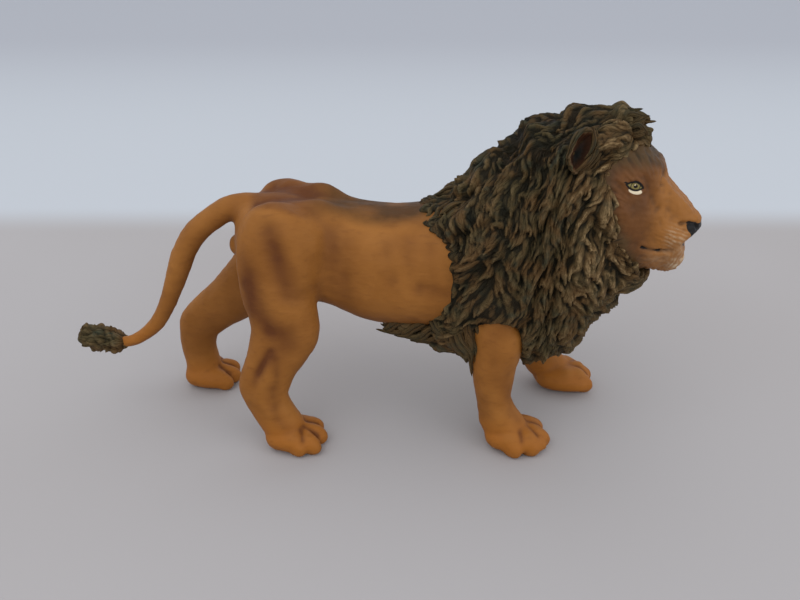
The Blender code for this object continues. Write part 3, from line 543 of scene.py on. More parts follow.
def ink(red, green, blue):
    """A paint colour from its display values, as linear light."""
    display = np.array([red, green, blue]) / 255
    linear = np.where(display <= 0.04045, display / 12.92, ((display + 0.055) / 1.055) ** 2.4)
    return (*linear.tolist(), 1.0)


OCHRE = ink(133, 83, 32)
OCHRE_LIGHT = ink(152, 99, 43)
ORANGE = ink(154, 93, 30)
COAT_DARK = ink(94, 52, 22)
COAT_GREY = ink(80, 52, 22)
MANE_DARK = ink(19, 20, 15)
MANE_OLIVE = ink(72, 64, 42)
MANE_BROWN = ink(86, 64, 38)
MANE_GREEN = ink(40, 54, 46)
MANE_LIGHT = ink(148, 124, 88)
FACE_RED = ink(109, 69, 34)
FACE_RUST = ink(100, 62, 31)
FACE_FUR = ink(79, 58, 32)
FACE_HAIR = ink(52, 41, 24)
FACE_ORANGE = ink(150, 98, 44)
FACE_DARK = ink(74, 50, 32)
WHITE_PAINT = ink(206, 188, 160)
BLACK_PAINT = ink(22, 19, 18)
EYE_WHITE = ink(222, 208, 180)
EYE_YELLOW = ink(128, 116, 66)
EAR_RED = ink(76, 45, 28)
FLOOR_GREY = ink(166, 163, 165)
FLOOR_PALE = ink(172, 170, 173)
FAR_BLUE = ink(188, 194, 203)
FAR_GREY = ink(174, 178, 188)
BACKDROP = ink(206, 212, 222)
SKY_WHITE = (0.97, 0.975, 0.98, 1)


def coat_paint():
    """Ochre vinyl greyer along the back, with painted shade in hollows and undersides and painted highlights
    on ridges.
    """
    f = Finish("coat_paint", 0.56, 0.18)
    cloud = f.noise(95, 3.0)
    mottle = f.noise(420, 4.0)
    hair = f.noise(900, 2.0, ((0.35, 1.0, 1.0), (0.0, 0.35, 0.0)))
    colour = f.blend(cloud.rise(0.3, 0.7), OCHRE, OCHRE_LIGHT)
    colour = f.over(f.value("warm") * (0.8 + cloud * 0.4), colour, ORANGE)
    # Painted highlights where the light values say, then painted shade and darker paint where the dark
    # values say
    colour = f.over(f.value("light") * 0.8, colour, OCHRE_LIGHT)
    colour = f.over(f.value("dark") * (0.75 + mottle * 0.5), colour, COAT_DARK)
    colour = f.over(f.value("back") * (0.7 + mottle * 0.6), colour, COAT_GREY)
    colour = f.blend(hair.rise(0.52, 0.8) * 0.22, colour, COAT_DARK)
    return f.done(colour, hair * 0.7 + mottle * 0.5, 0.00016, 0.5 + mottle * 0.14)


def mane_paint():
    """Dark olive-brown vinyl with a cast that changes from lock to lock, painted shade in its hollows and
    painted highlights with dry-brushed strands on its ridges.
    """
    f = Finish("mane_paint", 0.6, 0.1)
    cloud = f.noise(210, 2.0)
    other = f.noise(330, 2.0, at=f.moved(f.place(), (0.31, 0.17, 0.23)))
    tone = f.value("tone")
    across = f.value("across")
    wave = f.noise(900, 2.0)
    strand = (across * 12.0 + wave * 6.0).sine() * 0.5 + 0.5
    fleck = f.noise(1300, 2.0).rise(0.42, 0.62)
    relief = f.value("relief")
    colour = f.blend(cloud.rise(0.35, 0.65), MANE_OLIVE, MANE_BROWN)
    colour = f.blend(other.rise(0.5, 0.72) * 0.7, colour, MANE_GREEN)
    colour = f.blend(tone * 0.5, colour, MANE_BROWN)
    # Painted highlights, with dry-brushed strands and flecks, where the relief is high
    lit = (relief.rise(0.42, 0.95) * (0.15 + strand * 0.35 + fleck * 0.5) * (0.4 + tone * 0.6)).upto(1.0)
    colour = f.over(lit * (0.45 + f.value("pale") * 0.75), colour, MANE_LIGHT)
    # Painted shade where the relief is low
    colour = f.blend((1 - relief.rise(0.05, 0.55)) * 0.85, colour, MANE_DARK)
    height = strand * 0.8 + wave * 0.5
    return f.done(colour, height, 0.00016, 0.56 + wave * 0.2)


def ear_paint():
    """Dark fur outside, red-brown skin in the cup, with painted shadow deep in the cup, heaviest on one
    side.
    """
    f = Finish("ear_paint", 0.62, 0.18)
    mottle = f.noise(700, 3.0)
    colour = f.blend(mottle.rise(0.3, 0.7), MANE_BROWN, MANE_OLIVE)
    colour = f.over(f.value("cup") * (0.7 + mottle * 0.5), colour, EAR_RED)
    colour = f.blend(f.value("dark"), colour, MANE_DARK)
    return f.done(colour, mottle, 0.0002, 0.5 + mottle * 0.2)


# Middle of the painted eye, with y outward
EYE_PLACE = (56.75, 8.75, 64.75)


def face_paint():
    """Red-brown face, orange muzzle, pale whisker pads, black nose, painted eyes, and painted shade in
    hollows, above the brow and under the jaw.
    """
    f = Finish("face_paint", 0.55, 0.2)
    cloud = f.noise(160, 3.0)
    mottle = f.noise(800, 3.0)
    colour = f.blend(cloud.rise(0.3, 0.7), FACE_RED, FACE_RUST)
    colour = f.over(f.value("warm") * (0.75 + cloud * 0.5), colour, FACE_ORANGE)
    colour = f.over(f.value("dark") * (0.75 + mottle * 0.5), colour, FACE_DARK)
    streak = f.value("streak")
    fur = f.blend(streak.rise(0.0, 0.45), FACE_HAIR, FACE_FUR)
    fur = f.blend(streak.rise(0.55, 1.0) * 0.4, fur, MANE_BROWN)
    colour = f.over(f.value("hair") * (0.8 + mottle * 0.4), colour, fur)
    colour = f.over(f.value("pale") * (0.35 + mottle.rise(0.42, 0.62) * 0.65), colour, WHITE_PAINT)
    black = f.value("black").rise(0.35, 0.65)
    colour = f.blend(black, colour, BLACK_PAINT)
    colour, inside = eye_paint(f, colour)
    gloss = 0.5 + mottle * 0.12 - inside * 0.3 - black * 0.15
    return f.done(colour, mottle + cloud * 0.3, 0.00016, gloss)


def eye_paint(f, colour):
    """The eyes in a frame of their own, p along the lids and q up, and where the wet part is."""
    neck = ((TURN_PIVOT + SHIFT[0]) * MM, 0.0, 0.0)
    back = f.node("ShaderNodeVectorRotate", {"rotation_type": "Z_AXIS"},
                  {"Vector": f.place(), "Center": neck, "Angle": HEAD_TURN})
    x = f.axis(back, 0) * 1000 - SHIFT[0] - EYE_PLACE[0]
    y = abs(f.axis(back, 1) * 1000) - EYE_PLACE[1]
    z = f.axis(back, 2) * 1000 - EYE_PLACE[2]
    p = x * 0.90 - y * 0.31 - z * 0.28
    q = x * 0.22 - y * 0.12 + z * 0.97

    def oval(along, up, wide=1.0, tall=1.0):
        """Squared distance from a place on the eye, 1 on the rim of the oval."""
        a = (p - along) / wide
        b = (q - up) / tall
        return a * a + b * b

    here = 1 - (abs(p / 4) + abs(q / 3) + abs(y / 4)).rise(0.95, 1.0)
    lids = (q / 0.9).atleast(q / -0.72) + (p / 1.85) * (p / 1.85)
    inside = (1 - lids.rise(0.8, 0.95)) * here
    tail = 1 - (abs(q - 0.12 + p * 0.10) * 6.0 + abs(p + 2.4).rise(0.8, 1.2) * 2.0).rise(0.7, 1.3)
    rim = (1 - lids.rise(1.18, 1.4)) * here
    iris = oval(0.1, 0.08) ** 0.5
    ring = iris.rise(0.82, 0.92) * (1 - iris.rise(0.98, 1.1)) * inside
    glint = oval(-0.12, 0.3) ** 0.5
    colour = f.blend((1 - oval(0.45, -0.85, 1.45, 0.6).rise(0.8, 1.15)) * here, colour, EYE_WHITE)
    colour = f.over(rim + tail * here, colour, BLACK_PAINT)
    colour = f.blend((1 - lids.rise(0.62, 0.82)) * here, colour, EYE_YELLOW)
    colour = f.blend(ring, colour, BLACK_PAINT)
    colour = f.blend((1 - iris.rise(0.34, 0.44)) * inside, colour, BLACK_PAINT)
    return f.blend((1 - glint.rise(0.12, 0.2)) * inside, colour, WHITE_PAINT), inside


# Coat: trunk, legs and tail under one skin

def trunk_rings(count=90, around=64):
    """Squared-off ovals along the back."""
    rows = smooth_curve(TRUNK, count)
    angle = circle(around)[None, :]
    x, top, bottom, width, squareness = (rows[:, i, None] for i in range(5))
    wide = np.sign(np.cos(angle)) * np.abs(np.cos(angle)) ** (2 / squareness)
    tall = np.sign(np.sin(angle)) * np.abs(np.sin(angle)) ** (2 / squareness)
    return np.stack([x + 0 * angle, -width * wide, (top + bottom) / 2 + (top - bottom) / 2 * tall], axis=-1)


def leg_rings(rows, count=60, around=32):
    """Ovals square to the smooth line through a leg's rings."""
    rows = smooth_curve(rows, count)
    return path_rings(rows[:, :3], rows[:, 3], rows[:, 4], around)


def leg_place(rows, stops):
    """Places on a leg's skin by ring number and angle from the rear over the outer side."""
    stops = np.asarray(stops, float)
    side = np.sign(rows[-1][1])
    rings = leg_rings(rows, LEG_STEPS + 1, LEG_AROUND)
    index = np.rint(stops[:, 0] * LEG_STEPS / (len(rows) - 1)).astype(int)
    around = np.rint(side * stops[:, 1] * LEG_AROUND / 360).astype(int) % LEG_AROUND
    return rings[index, around]


def toe_places(foot, length, half_width, toes):
    """Where the toes of a paw stand on the floor."""
    heel = foot[0] - HEEL_SHARE * length
    side = np.sign(foot[1])
    return [(heel + share * length, foot[1] + side * aside * half_width) for share, aside, _ in toes]


def paw_forms(foot, length, half_width, toes):
    """A round mitten and four toes that fan over its outer front."""
    rows = smooth_curve(PAW, 24)
    angle = circle(28)[None, :]
    along, low, high, width = (rows[:, i, None] for i in range(4))
    rings = np.stack([foot[0] - HEEL_SHARE * length + along * length + 0 * angle,
                      foot[1] - width * half_width * np.cos(angle),
                      (high + low) / 2 + (high - low) / 2 * np.sin(angle)], axis=-1)
    forms = [tube(rings)]
    for place, (_, _, turn) in zip(toe_places(foot, length, half_width, toes), toes):
        angle = np.sign(foot[1]) * math.radians(turn)
        ahead = (math.cos(angle), math.sin(angle), -0.1)
        axes = np.array([ahead, (-math.sin(angle), math.cos(angle), 0), (0, 0, 1)])
        forms.append(ball((*place, TOE_MIDDLE), TOE_RADII, axes))
    return forms


# How far the heel lies behind the foot's place, in shares of the paw's length; height and radii
# of the toes; and the far forepaw's place, a little off the end of its leg
HEEL_SHARE = 0.38
TOE_MIDDLE = 2.3
TOE_RADII = (3.1, 2.0, 2.6)
FAR_FORE_FOOT = (49.0, 12.4, 2)
# Paws: foot, length, half width, toes
PAWS = (
    (RIGHT_HIND[-1], 14.0, 5.8, HIND_TOES),
    (LEFT_HIND[-1], 14.0, 5.8, HIND_TOES),
    (RIGHT_FORE[-1], 15.8, 6.1, FORE_TOES),
    (FAR_FORE_FOOT, 16.2, 6.8, FORE_TOES),
)
# How far the strokes below spread, stand out and darken
# A stroke's darkness is partly darker paint and partly painted shade in its groove; below 0 it is a painted
# highlight on a ridge
STROKE_SPREAD = 1.6
STROKE_RELIEF = 0.65
STROKE_SHADE = 0.5
# Strokes on a hind leg: (ring, angle) stops, width, height, darkness
HIND_STROKES = (
    (((1.3, 70), (1.9, 84), (2.4, 96), (2.9, 104)), 1.5, -0.55, 0.75),
    (((1.4, 100), (2.0, 110), (2.7, 122)), 2.0, 0.45, -0.5),
    (((2.6, 56), (3.0, 66), (3.7, 72), (4.4, 70)), 1.5, -0.6, 0.8),
    (((2.9, 88), (3.5, 92), (4.2, 90)), 1.8, 0.4, -0.35),
    (((1.6, 58), (2.2, 52), (2.8, 40)), 2.0, 0.35, -0.3),
    (((5.0, 96), (5.6, 96)), 2.6, -0.35, 0.55),
    (((6.1, 74), (6.6, 70), (7.1, 66)), 0.8, -0.5, 0.8),
    (((6.1, 86), (7.3, 78), (8.2, 76), (9.3, 92)), 0.7, 0.35, -0.35),
    (((7.6, 104), (8.6, 104), (9.8, 106)), 0.8, -0.35, 0.6),
    (((7.4, 0), (8.0, 0)), 1.8, 0.6, -0.1),
    (((4.0, 165), (5.2, 165)), 2.4, 0.3, -0.3),
    (((3.4, -70), (5.0, -80)), 3.0, -0.4, 0.6),
)
# Strokes on a foreleg, listed in the same way
FORE_STROKES = (
    (((2.6, 150), (3.3, 140), (4.0, 120)), 2.0, 0.35, -0.4),
    (((2.4, 92), (3.2, 88)), 2.6, 0.0, 0.35),
    (((5.2, 118), (5.8, 122), (6.7, 138)), 1.2, -0.35, 0.6),
    (((3.4, 70), (4.6, 76), (5.8, 84)), 1.1, -0.25, 0.3),
    (((6.8, 50), (7.4, 40)), 1.3, -0.3, 0.55),
    (((7.9, 12), (8.5, 16)), 1.1, 0.65, 0.0),
    (((7.3, 96), (8.2, 98), (9.0, 100)), 1.3, 0.25, -0.3),
    (((7.6, 140), (8.6, 150)), 0.9, -0.3, 0.5),
)
# Further strokes on the right thigh and shank: places, width, height, darkness
THIGH_STROKES = (
    (((-21.8, -14.5, 54.3), (-19.5, -14.5, 49.4), (-17.2, -14.5, 43.4), (-16.4, -14.5, 40.4)),
     2.3, -0.4, 0.36),
    (((-18.3, -15, 56.0), (-15.5, -15, 50.1), (-13.8, -15, 43.2)), 1.8, 0.4, -0.45),
    (((-19.2, -16, 31.9), (-18.5, -16, 29.4)), 2.6, -0.2, 0.42),
    (((-22.3, -16.4, 27.3), (-24.7, -16.4, 23.4), (-27.1, -16.4, 19.4)), 1.3, -0.35, 0.45),
    (((-21.6, -16.6, 25.4), (-21.6, -16.6, 19.6), (-21.9, -16.6, 13.5)), 1.2, -0.25, 0.5),
    (((-23.4, -16.6, 22.5), (-24.3, -16.6, 17.1), (-23.5, -16.6, 10.7)), 1.1, 0.3, -0.4),
    (((-20.7, -18, 8.1), (-18.0, -18, 7.0)), 1.6, -0.15, 0.5),
    (((-26.5, -13.5, 47.9), (-26.2, -13.5, 42.5), (-25.9, -13.5, 36.5)), 2.0, 0.0, 0.4),
    (((-27.4, -13.5, 42.5), (-25.0, -13.5, 36.5), (-22.6, -14.5, 32.5)), 2.0, -0.35, 0.6),
)
# Strokes on both flanks: places for the right side, width, height, darkness
TRUNK_STROKES = (
    (((-8.6, -9.3, 52), (-7.4, -10.6, 48), (-6.6, -10.9, 44), (-6.4, -10.8, 39)), 2.0, -0.75, 0.75),
    (((3.0, -10.5, 51), (3.4, -11.7, 47), (4.4, -12.4, 43)), 1.2, -0.35, 0.35),
    (((7.6, -11, 50.5), (8.2, -12.4, 46.5), (9.4, -13, 42)), 1.4, -0.35, 0.25),
    (((11.6, -11.4, 50.5), (12.6, -12.8, 46.5), (13.4, -13.2, 43)), 1.4, -0.35, 0.2),
    (((5.6, -11, 50), (6.2, -12.3, 46)), 1.2, 0.25, -0.4),
    (((9.8, -11.6, 50), (10.8, -12.9, 45)), 1.2, 0.4, -0.7),
    (((13.8, -12.8, 47), (15, -13.2, 43)), 1.2, 0.4, -0.7),
    (((10.5, -13.2, 41), (16, -13.2, 40)), 1.1, -0.3, 0.45),
    (((-9.6, -6.4, 55.2), (-11.4, -4, 56.8)), 2.2, 0.5, -0.35),
    (((-2, -11.6, 38), (6, -12.3, 36)), 3.2, 0.3, -0.35),
    (((-4, -8, 33), (4, -9, 31), (12, -9.5, 30)), 2.4, 0.0, 0.4),
    (((-14.6, -1.9, 57.9), (-19, -3.3, 58.2), (-24, -4.2, 57)), 1.3, -0.8, 0.8),
    (((-11.0, -5.0, 57.2), (-13.5, -5.4, 58.2), (-17.5, -6.4, 58.6), (-21, -7, 58)), 2.2, 0.9, 0.1),
    (((-6, 0, 56), (8, 0, 55.3)), 1.6, 0.25, 0.0),
)
# The share of their darkness that the grooves on the far legs keep
FAR_SHADE = 0.4
# Creases between toes: how far they reach behind and ahead of the toes' middles, width, depth,
# darkness, the height where they end, how softly they end, and how much deeper they are on wide paws
CREASE_REACHES = (-1.2, 1.0, 4.2)
CREASE_WIDTH = 0.6
CREASE_DEPTH = 0.42
CREASE_SHADE = 0.5
CREASE_TOP = 7.0
CREASE_FADE = 1.6
WIDE_PAW = 6.5
WIDE_PAW_DEPTH = 1.3
# A dimple beside each of the two middle toes, and a knuckle on every toe: how far behind the toe,
# how far inward and how high; size; lift
DIMPLE = ((2.3, 1.2, 5.6), (1.6, 1.6, 1.4), -0.2)
KNUCKLE = ((0.4, 0, 5.0), (1.7, 1.4, 1.5), 0.3)
# How much painted highlight each knuckle takes
KNUCKLE_LIGHT = 0.45
# Single spots: place, size, lift, painted highlight
COAT_SPOTS = (
    # The far forepaw's raised knuckles
    ((53.6, 9.6, 5.2), (1.9, 1.7, 1.9), 0.75, 0.4),
    ((54.2, 13.0, 5.6), (1.9, 1.7, 1.9), 0.75, 0.4),
    ((51.0, 15.6, 5.8), (1.9, 1.7, 1.9), 0.75, 0.4),
    ((50.4, 8.6, 6.2), (1.9, 1.7, 1.9), 0.75, 0.4),
    # Dents at the corners of the windows in the mane
    ((33.2, -15.2, 33.8), (2.4, 4.0, 2.8), -2.2, 0),
    ((22.8, -15.0, 34.4), (2.0, 4.0, 2.4), -1.2, 0),
    ((34.4, 15.2, 33.8), (2.4, 4.0, 2.8), -2.2, 0),
    ((24.0, 15.0, 34.4), (2.0, 4.0, 2.4), -1.2, 0),
)
# The share of the smoothing that the legs get, and how much less paws and tail get
LEG_SOFTNESS = 0.26
PAW_FIRMNESS = 0.78
TAIL_FIRMNESS = 0.72
# How deep the trunk lies under the mane, on top and at the sides
SINK_TOP = 3.8
SINK_SIDE = 2.4
# The rounded form under the tail's root
UNDER_TAIL = ((-29.6, 0, 46.2), (3.4, 3.0, 3.2))
# How much higher the two hip crests stand than the trunk's ovals: x, height
HIP_CREST = np.array([(-25, 0), (-22.9, -0.6), (-20, 0.2), (-17.5, 0.9), (-15.7, 1.3), (-13.9, 1.8),
                      (-12.1, 2.0), (-10.3, 1.9), (-8.5, 1.6), (-6.7, 1.3), (-4.9, 1.0), (-3, 0.8),
                      (0.6, 0.5), (4.2, 0.5), (9, 0)])


class Relief:
    """What is added to a skin: lift along its normals, darkening that is partly paint and partly painted
    shade, and painted highlights.
    """

    def __init__(self, points):
        self.points = points
        self.lift, self.dark, self.light = np.zeros((3, len(points)))

    def brush(self, mark, lift=0.0, dark=0.0, light=0.0):
        """Add the given amounts in the mark's share."""
        self.lift += lift * mark
        self.dark += dark * mark
        self.light += light * mark

    def strokes(self, table, place, spread=1.0, shading=1.0, softer=1.0):
        """Brush a table of stops, width, height and darkness; place turns the stops into a line."""
        for stops, width, height, shade in table:
            self.brush(beside(self.points, place(stops), width * spread), height * STROKE_RELIEF,
                       max(shade, 0) * shading * softer, -min(shade, 0) * shading)


def coat_forms():
    """Trunk, legs, paws and tail as overlapping tubes and balls."""
    forms = [tube(trunk_rings()), ball(*UNDER_TAIL)]
    forms += [tube(leg_rings(rows)) for rows in (RIGHT_HIND, LEFT_HIND, RIGHT_FORE, LEFT_FORE)]
    for paw in PAWS:
        forms += paw_forms(*paw)
    middle, radii = middle_line(TAIL, TAIL_RINGS)
    return forms + [tube(path_rings(middle, radii, radii, TAIL_POINTS))]


def mark_toes(relief):
    """Creases between the toes, measured from above so that they follow the skin, and knuckles with painted
    highlights.
    """
    points = relief.points
    for foot, length, half_width, toes in PAWS:
        side = np.sign(foot[1])
        places = toe_places(foot, length, half_width, toes)
        for first, second in zip(places[:-1], places[1:]):
            middle = (np.array(first) + second) / 2
            ahead = np.array([second[1] - first[1], first[0] - second[0]]) * side
            ahead /= np.linalg.norm(ahead)
            line = [(*(middle + reach * ahead), 0) for reach in CREASE_REACHES]
            crease = beside(points * (1, 1, 0), line, CREASE_WIDTH)
            crease *= smoothstep((CREASE_TOP - points[:, 2]) / CREASE_FADE)
            deep = WIDE_PAW_DEPTH if half_width > WIDE_PAW else 1.0
            relief.brush(crease, -CREASE_DEPTH * deep, CREASE_SHADE * deep)
        for spots, (step, size, lift), light in ((places[1:3], DIMPLE, 0), (places, KNUCKLE, KNUCKLE_LIGHT)):
            behind, inward, height = step
            for a, b in spots:
                relief.brush(near(points, (a - behind, b - side * inward, height), size), lift, light=light)


def mark_coat(points):
    """Muscle folds and tendons by their strokes, toes, and dents at the mane's windows."""
    relief = Relief(points)
    for side in (1, -1):
        relief.strokes(TRUNK_STROKES, lambda stops: np.array(stops) * (1, side, 1), STROKE_SPREAD,
                       STROKE_SHADE)
    for leg, strokes in ((RIGHT_HIND, HIND_STROKES), (LEFT_HIND, HIND_STROKES), (RIGHT_FORE, FORE_STROKES),
                         (LEFT_FORE, FORE_STROKES)):
        softer = FAR_SHADE if leg[0][1] > 0 else 1.0
        relief.strokes(strokes, lambda stops: leg_place(leg, stops), STROKE_SPREAD, STROKE_SHADE, softer)
    relief.strokes(THIGH_STROKES, np.array)
    mark_toes(relief)
    for place, size, lift, light in COAT_SPOTS:
        relief.brush(near(points, place, size), lift, light=light)
    return relief


def build_coat():
    """Trunk, legs and tail under one skin, smoothest on the body."""
    rough, quads = skin_over(coat_forms(), COAT_VOXEL)
    edges = edges_of(quads)
    # Until the lift is done, x, y and z are those of the rough skin
    x, y, z = rough.T
    body = smoothstep((z - 26) / 14) * smoothstep((x + 33) / 4)
    paw = 1 - smoothstep((z - 5) / 4)
    tail = np.where(np.abs(y) < 4.2, smoothstep((-x - 31) / 3), 0)
    softness = np.clip(LEG_SOFTNESS + (1 - LEG_SOFTNESS) * body, 0, 1)
    softness *= (1 - PAW_FIRMNESS * paw) * (1 - TAIL_FIRMNESS * tail)
    points = relax(rough, edges, COAT_ROUNDS, softness)
    normals = outward(points, quads)

    relief = mark_coat(points)
    lift = relief.lift + 0.04 * ripple(points, 7, 3) + 0.02 * ripple(points, 2.4, 4)
    crest = np.interp(x, HIP_CREST[:, 0], HIP_CREST[:, 1]) * smoothstep((z - 53.5) / 3)
    crest *= smoothstep((np.abs(y) - 1.2) / 3) * smoothstep((9.5 - np.abs(y)) / 3)
    lift += crest * np.where(y > 0, 1.0, 0.45)
    # The trunk lies deeper where the mane hides it
    high = smoothstep((z - 52) / 3)
    lift -= SINK_TOP * smoothstep((x - 16.5) / 4) * high
    lift -= SINK_SIDE * smoothstep((x - 19.5) / 4) * smoothstep((z - 40) / 5) * (1 - high)
    points = points + normals * (lift * smoothstep(z / 1.2))[:, None]
    points[:, 2] = np.maximum(points[:, 2], 0)

    # Painted shade in the hollows, on undersides and on the legs' inner sides, and painted highlights on
    # bumps, join the strokes' darkening and lightening
    hollow = hollows(points, normals, edges, COAT_HOLLOW_ROUNDS)
    x, y, z = points.T
    under = np.clip(-normals[:, 2], 0, 1)
    inner = np.clip(-normals[:, 1] * np.sign(y), 0, 1) * smoothstep((40 - z) / 5) * smoothstep((z - 6) / 5)
    top = smoothstep((normals[:, 2] - 0.74) / 0.26) * smoothstep((z - 51) / 3)
    dark = relief.dark + np.clip(hollow * 22, 0, 0.5) + 0.35 * under * smoothstep((z - 8) / 6) + 0.1 * inner
    dark += 0.6 * top * smoothstep((x + 28) / 3) * (1 - smoothstep((x + 14) / 8))
    back = 0.85 * top * smoothstep((x + 16) / 9)
    back = np.clip(back + 0.25 * ripple(points, 9, 11) * back, 0, 1)
    warm = np.clip(smoothstep((12 - z) / 8) + 0.8 * tail * smoothstep((30 - z) / 8), 0, 1) * 0.8
    light = relief.light + np.clip(-hollow * 10, 0, 0.35)
    make_piece("coat", points, quads.tolist(), coat_paint(),
               ("torso", "right_hind_leg", "left_hind_leg", "right_foreleg", "left_foreleg", "tail"),
               "coat_paint", dark=np.clip(dark, 0, 1), light=np.clip(light, 0, 1), back=back, warm=warm)


# Head

def head_net(count=70, around=64):
    """Each head row mirrored to a closed ring, then smooth curves through the rows both ways."""
    columns = []
    for x, top, *sides, bottom in HEAD:
        right = [(x, -a, b) for a, b in reversed(sides)]
        columns.append([(x, 0, top), *[(x, a, b) for a, b in sides], (x, 0, bottom), *right])
    along = smooth_curve(np.array(columns, float), count)
    return np.swapaxes(closed_curve(np.swapaxes(along, 0, 1), around), 0, 1)[:, ::-1]


# Where the mane's hair begins on the cheek: x, z
HAIRLINE = np.array([(51.6, 69.5), (51.4, 66.4), (51.8, 63.3), (53.1, 60.1), (55.1, 56.4), (57.6, 52.4),
                     (60, 48.6), (61, 45.4)])
# Strokes on the face, right and left alike: places with y outward, width, height
FACE_STROKES = (
    (((61.4, 2.4, 68.6), (59.6, 5.2, 68.0), (57.0, 7.6, 67.2), (54.2, 9.0, 66.6)), 1.3, 0.3),
    (((62.2, 2.6, 66.0), (61.2, 4.6, 64.0), (60.4, 5.9, 62.0)), 1.3, -0.5),
    (((59.4, 7.3, 64.4), (60.2, 6.8, 62.6), (61.6, 6.0, 60.0)), 1.0, -0.45),
    (((63.0, 2.9, 65.0), (66.0, 2.7, 61.8), (68.0, 2.4, 59.6)), 0.9, 0.35),
    (((64.2, 4.9, 58.6), (66.0, 4.6, 56.8)), 1.4, -0.2),
    (((64.4, 5.6, 54.4), (66.6, 4.4, 53.4)), 1.9, 0.55),
    (((53.0, 10.3, 61.0), (56.0, 9.4, 59.0), (58.6, 8.2, 57.6)), 2.0, 0.35),
    (((60.4, 7.2, 55.6), (59.2, 7.7, 52.6)), 1.5, -0.3),
)
# Lines round the eye and the mouth
UPPER_LID = ((54.4, 9.4, 65.4), (55.6, 9.1, 66.1), (57.0, 8.6, 66.2), (58.4, 7.9, 65.2), (58.9, 7.5, 64.0))
LOWER_LID = ((54.6, 9.6, 64.8), (55.8, 9.3, 63.8), (57.4, 8.7, 63.4), (58.8, 7.9, 63.7))
MOUTH = ((60.1, 7.3, 51.6), (61.6, 6.8, 51.1), (63.4, 6.1, 51.0))
LIP_SEAM = ((63.6, 6.0, 51.0), (65.8, 4.8, 51.3), (67.4, 3.0, 51.6), (68.2, 0.6, 51.8))
LOWER_LIP = ((59.6, 7.4, 50.6), (62, 6.6, 50.0), (65, 5.2, 50.0), (67.6, 2.2, 50.4))
NOSTRIL = ((66.4, 4.4, 56.9), (67.6, 3.6, 57.0), (68.9, 2.7, 56.6), (69.2, 2.4, 55.8))
MOUTH_WIDTH = 0.34
NOSTRIL_WIDTH = 0.40
# How those lines are carved: places, width, height
FACE_LINES = (
    (UPPER_LID, 0.42, 0.32), (LOWER_LID, 0.42, 0.2), (MOUTH, MOUTH_WIDTH, -0.75),
    (LIP_SEAM, 0.40, -0.4), (LOWER_LIP, 0.7, 0.28), (NOSTRIL, NOSTRIL_WIDTH, -0.5),
)
# Soft spots on the face: place, size
EYE_SOCKET = ((56.75, 8.75, 64.95), (3.0, 3.0, 1.9))
EYE_BULGE = ((56.75, 8.75, 64.75), (1.5, 2.0, 1.0))
LIP_NOTCH = ((68.3, 0.3, 51.4), (0.8, 2.0, 0.6))
WHISKER_PAD = ((64.8, 5.0, 54.0), (3.0, 3.0, 2.2))
CHIN_SKIN = ((67.0, 2.0, 47.8), (2.6, 3.2, 2.4))
# The upright groove under the nose: place, size, and half width of its line
LIP_GROOVE = ((69.3, 0, 53.2), (2, 1, 2.2))
LIP_GROOVE_WIDTH = 0.35
# Painted shade in the crease above the brow
BROW_EDGE = ((58.0, 5.6, 69.4), (61.0, 3.6, 68.2), (62.4, 1.6, 67.0))
# Soft spots of painted shadow under the jaw, of darker skin below the eye, and of pale paint: place, size,
# strength
DARK_SPOTS = (((56.5, 7.5, 49.0), (3.5, 3.0, 3.0), 0.35), ((57.5, 8.3, 60.6), (1.6, 2, 1.8), 0.45))
PALE_SPOTS = (((65.5, 3.0, 48.4), (4.0, 4.0, 3.0), 0.12), ((67.3, 3.2, 52.2), (1.5, 2.0, 1.1), 0.45),
              ((62.5, 5.0, 49.5), (2.4, 3, 1.5), 0.12))
# Trims of the profile along the middle: z, how far it comes forward
BRIDGE = np.array([(70.5, 0), (69.2, -0.6), (67.8, -0.2), (66.4, -0.5), (65.2, -0.9), (64.2, -1.25),
                   (63.0, -0.8), (61.8, -0.5), (60.4, -0.2), (59, 0), (57.8, 0.2), (56, 0.4), (54.9, 0.7),
                   (53.8, 0.3), (52.9, -0.7), (52.2, -1.1), (51.3, -0.5), (50, 0), (48, 0.2), (46, 0)])
# Forms under the face's skin: middle and radii of the chin and of an eyeball
CHIN = ((65.2, 0, 47.75), (3.2, 3.5, 3.1))
EYEBALL = ((56.7, 7.15, 64.7), (1.9, 1.75, 1.7))


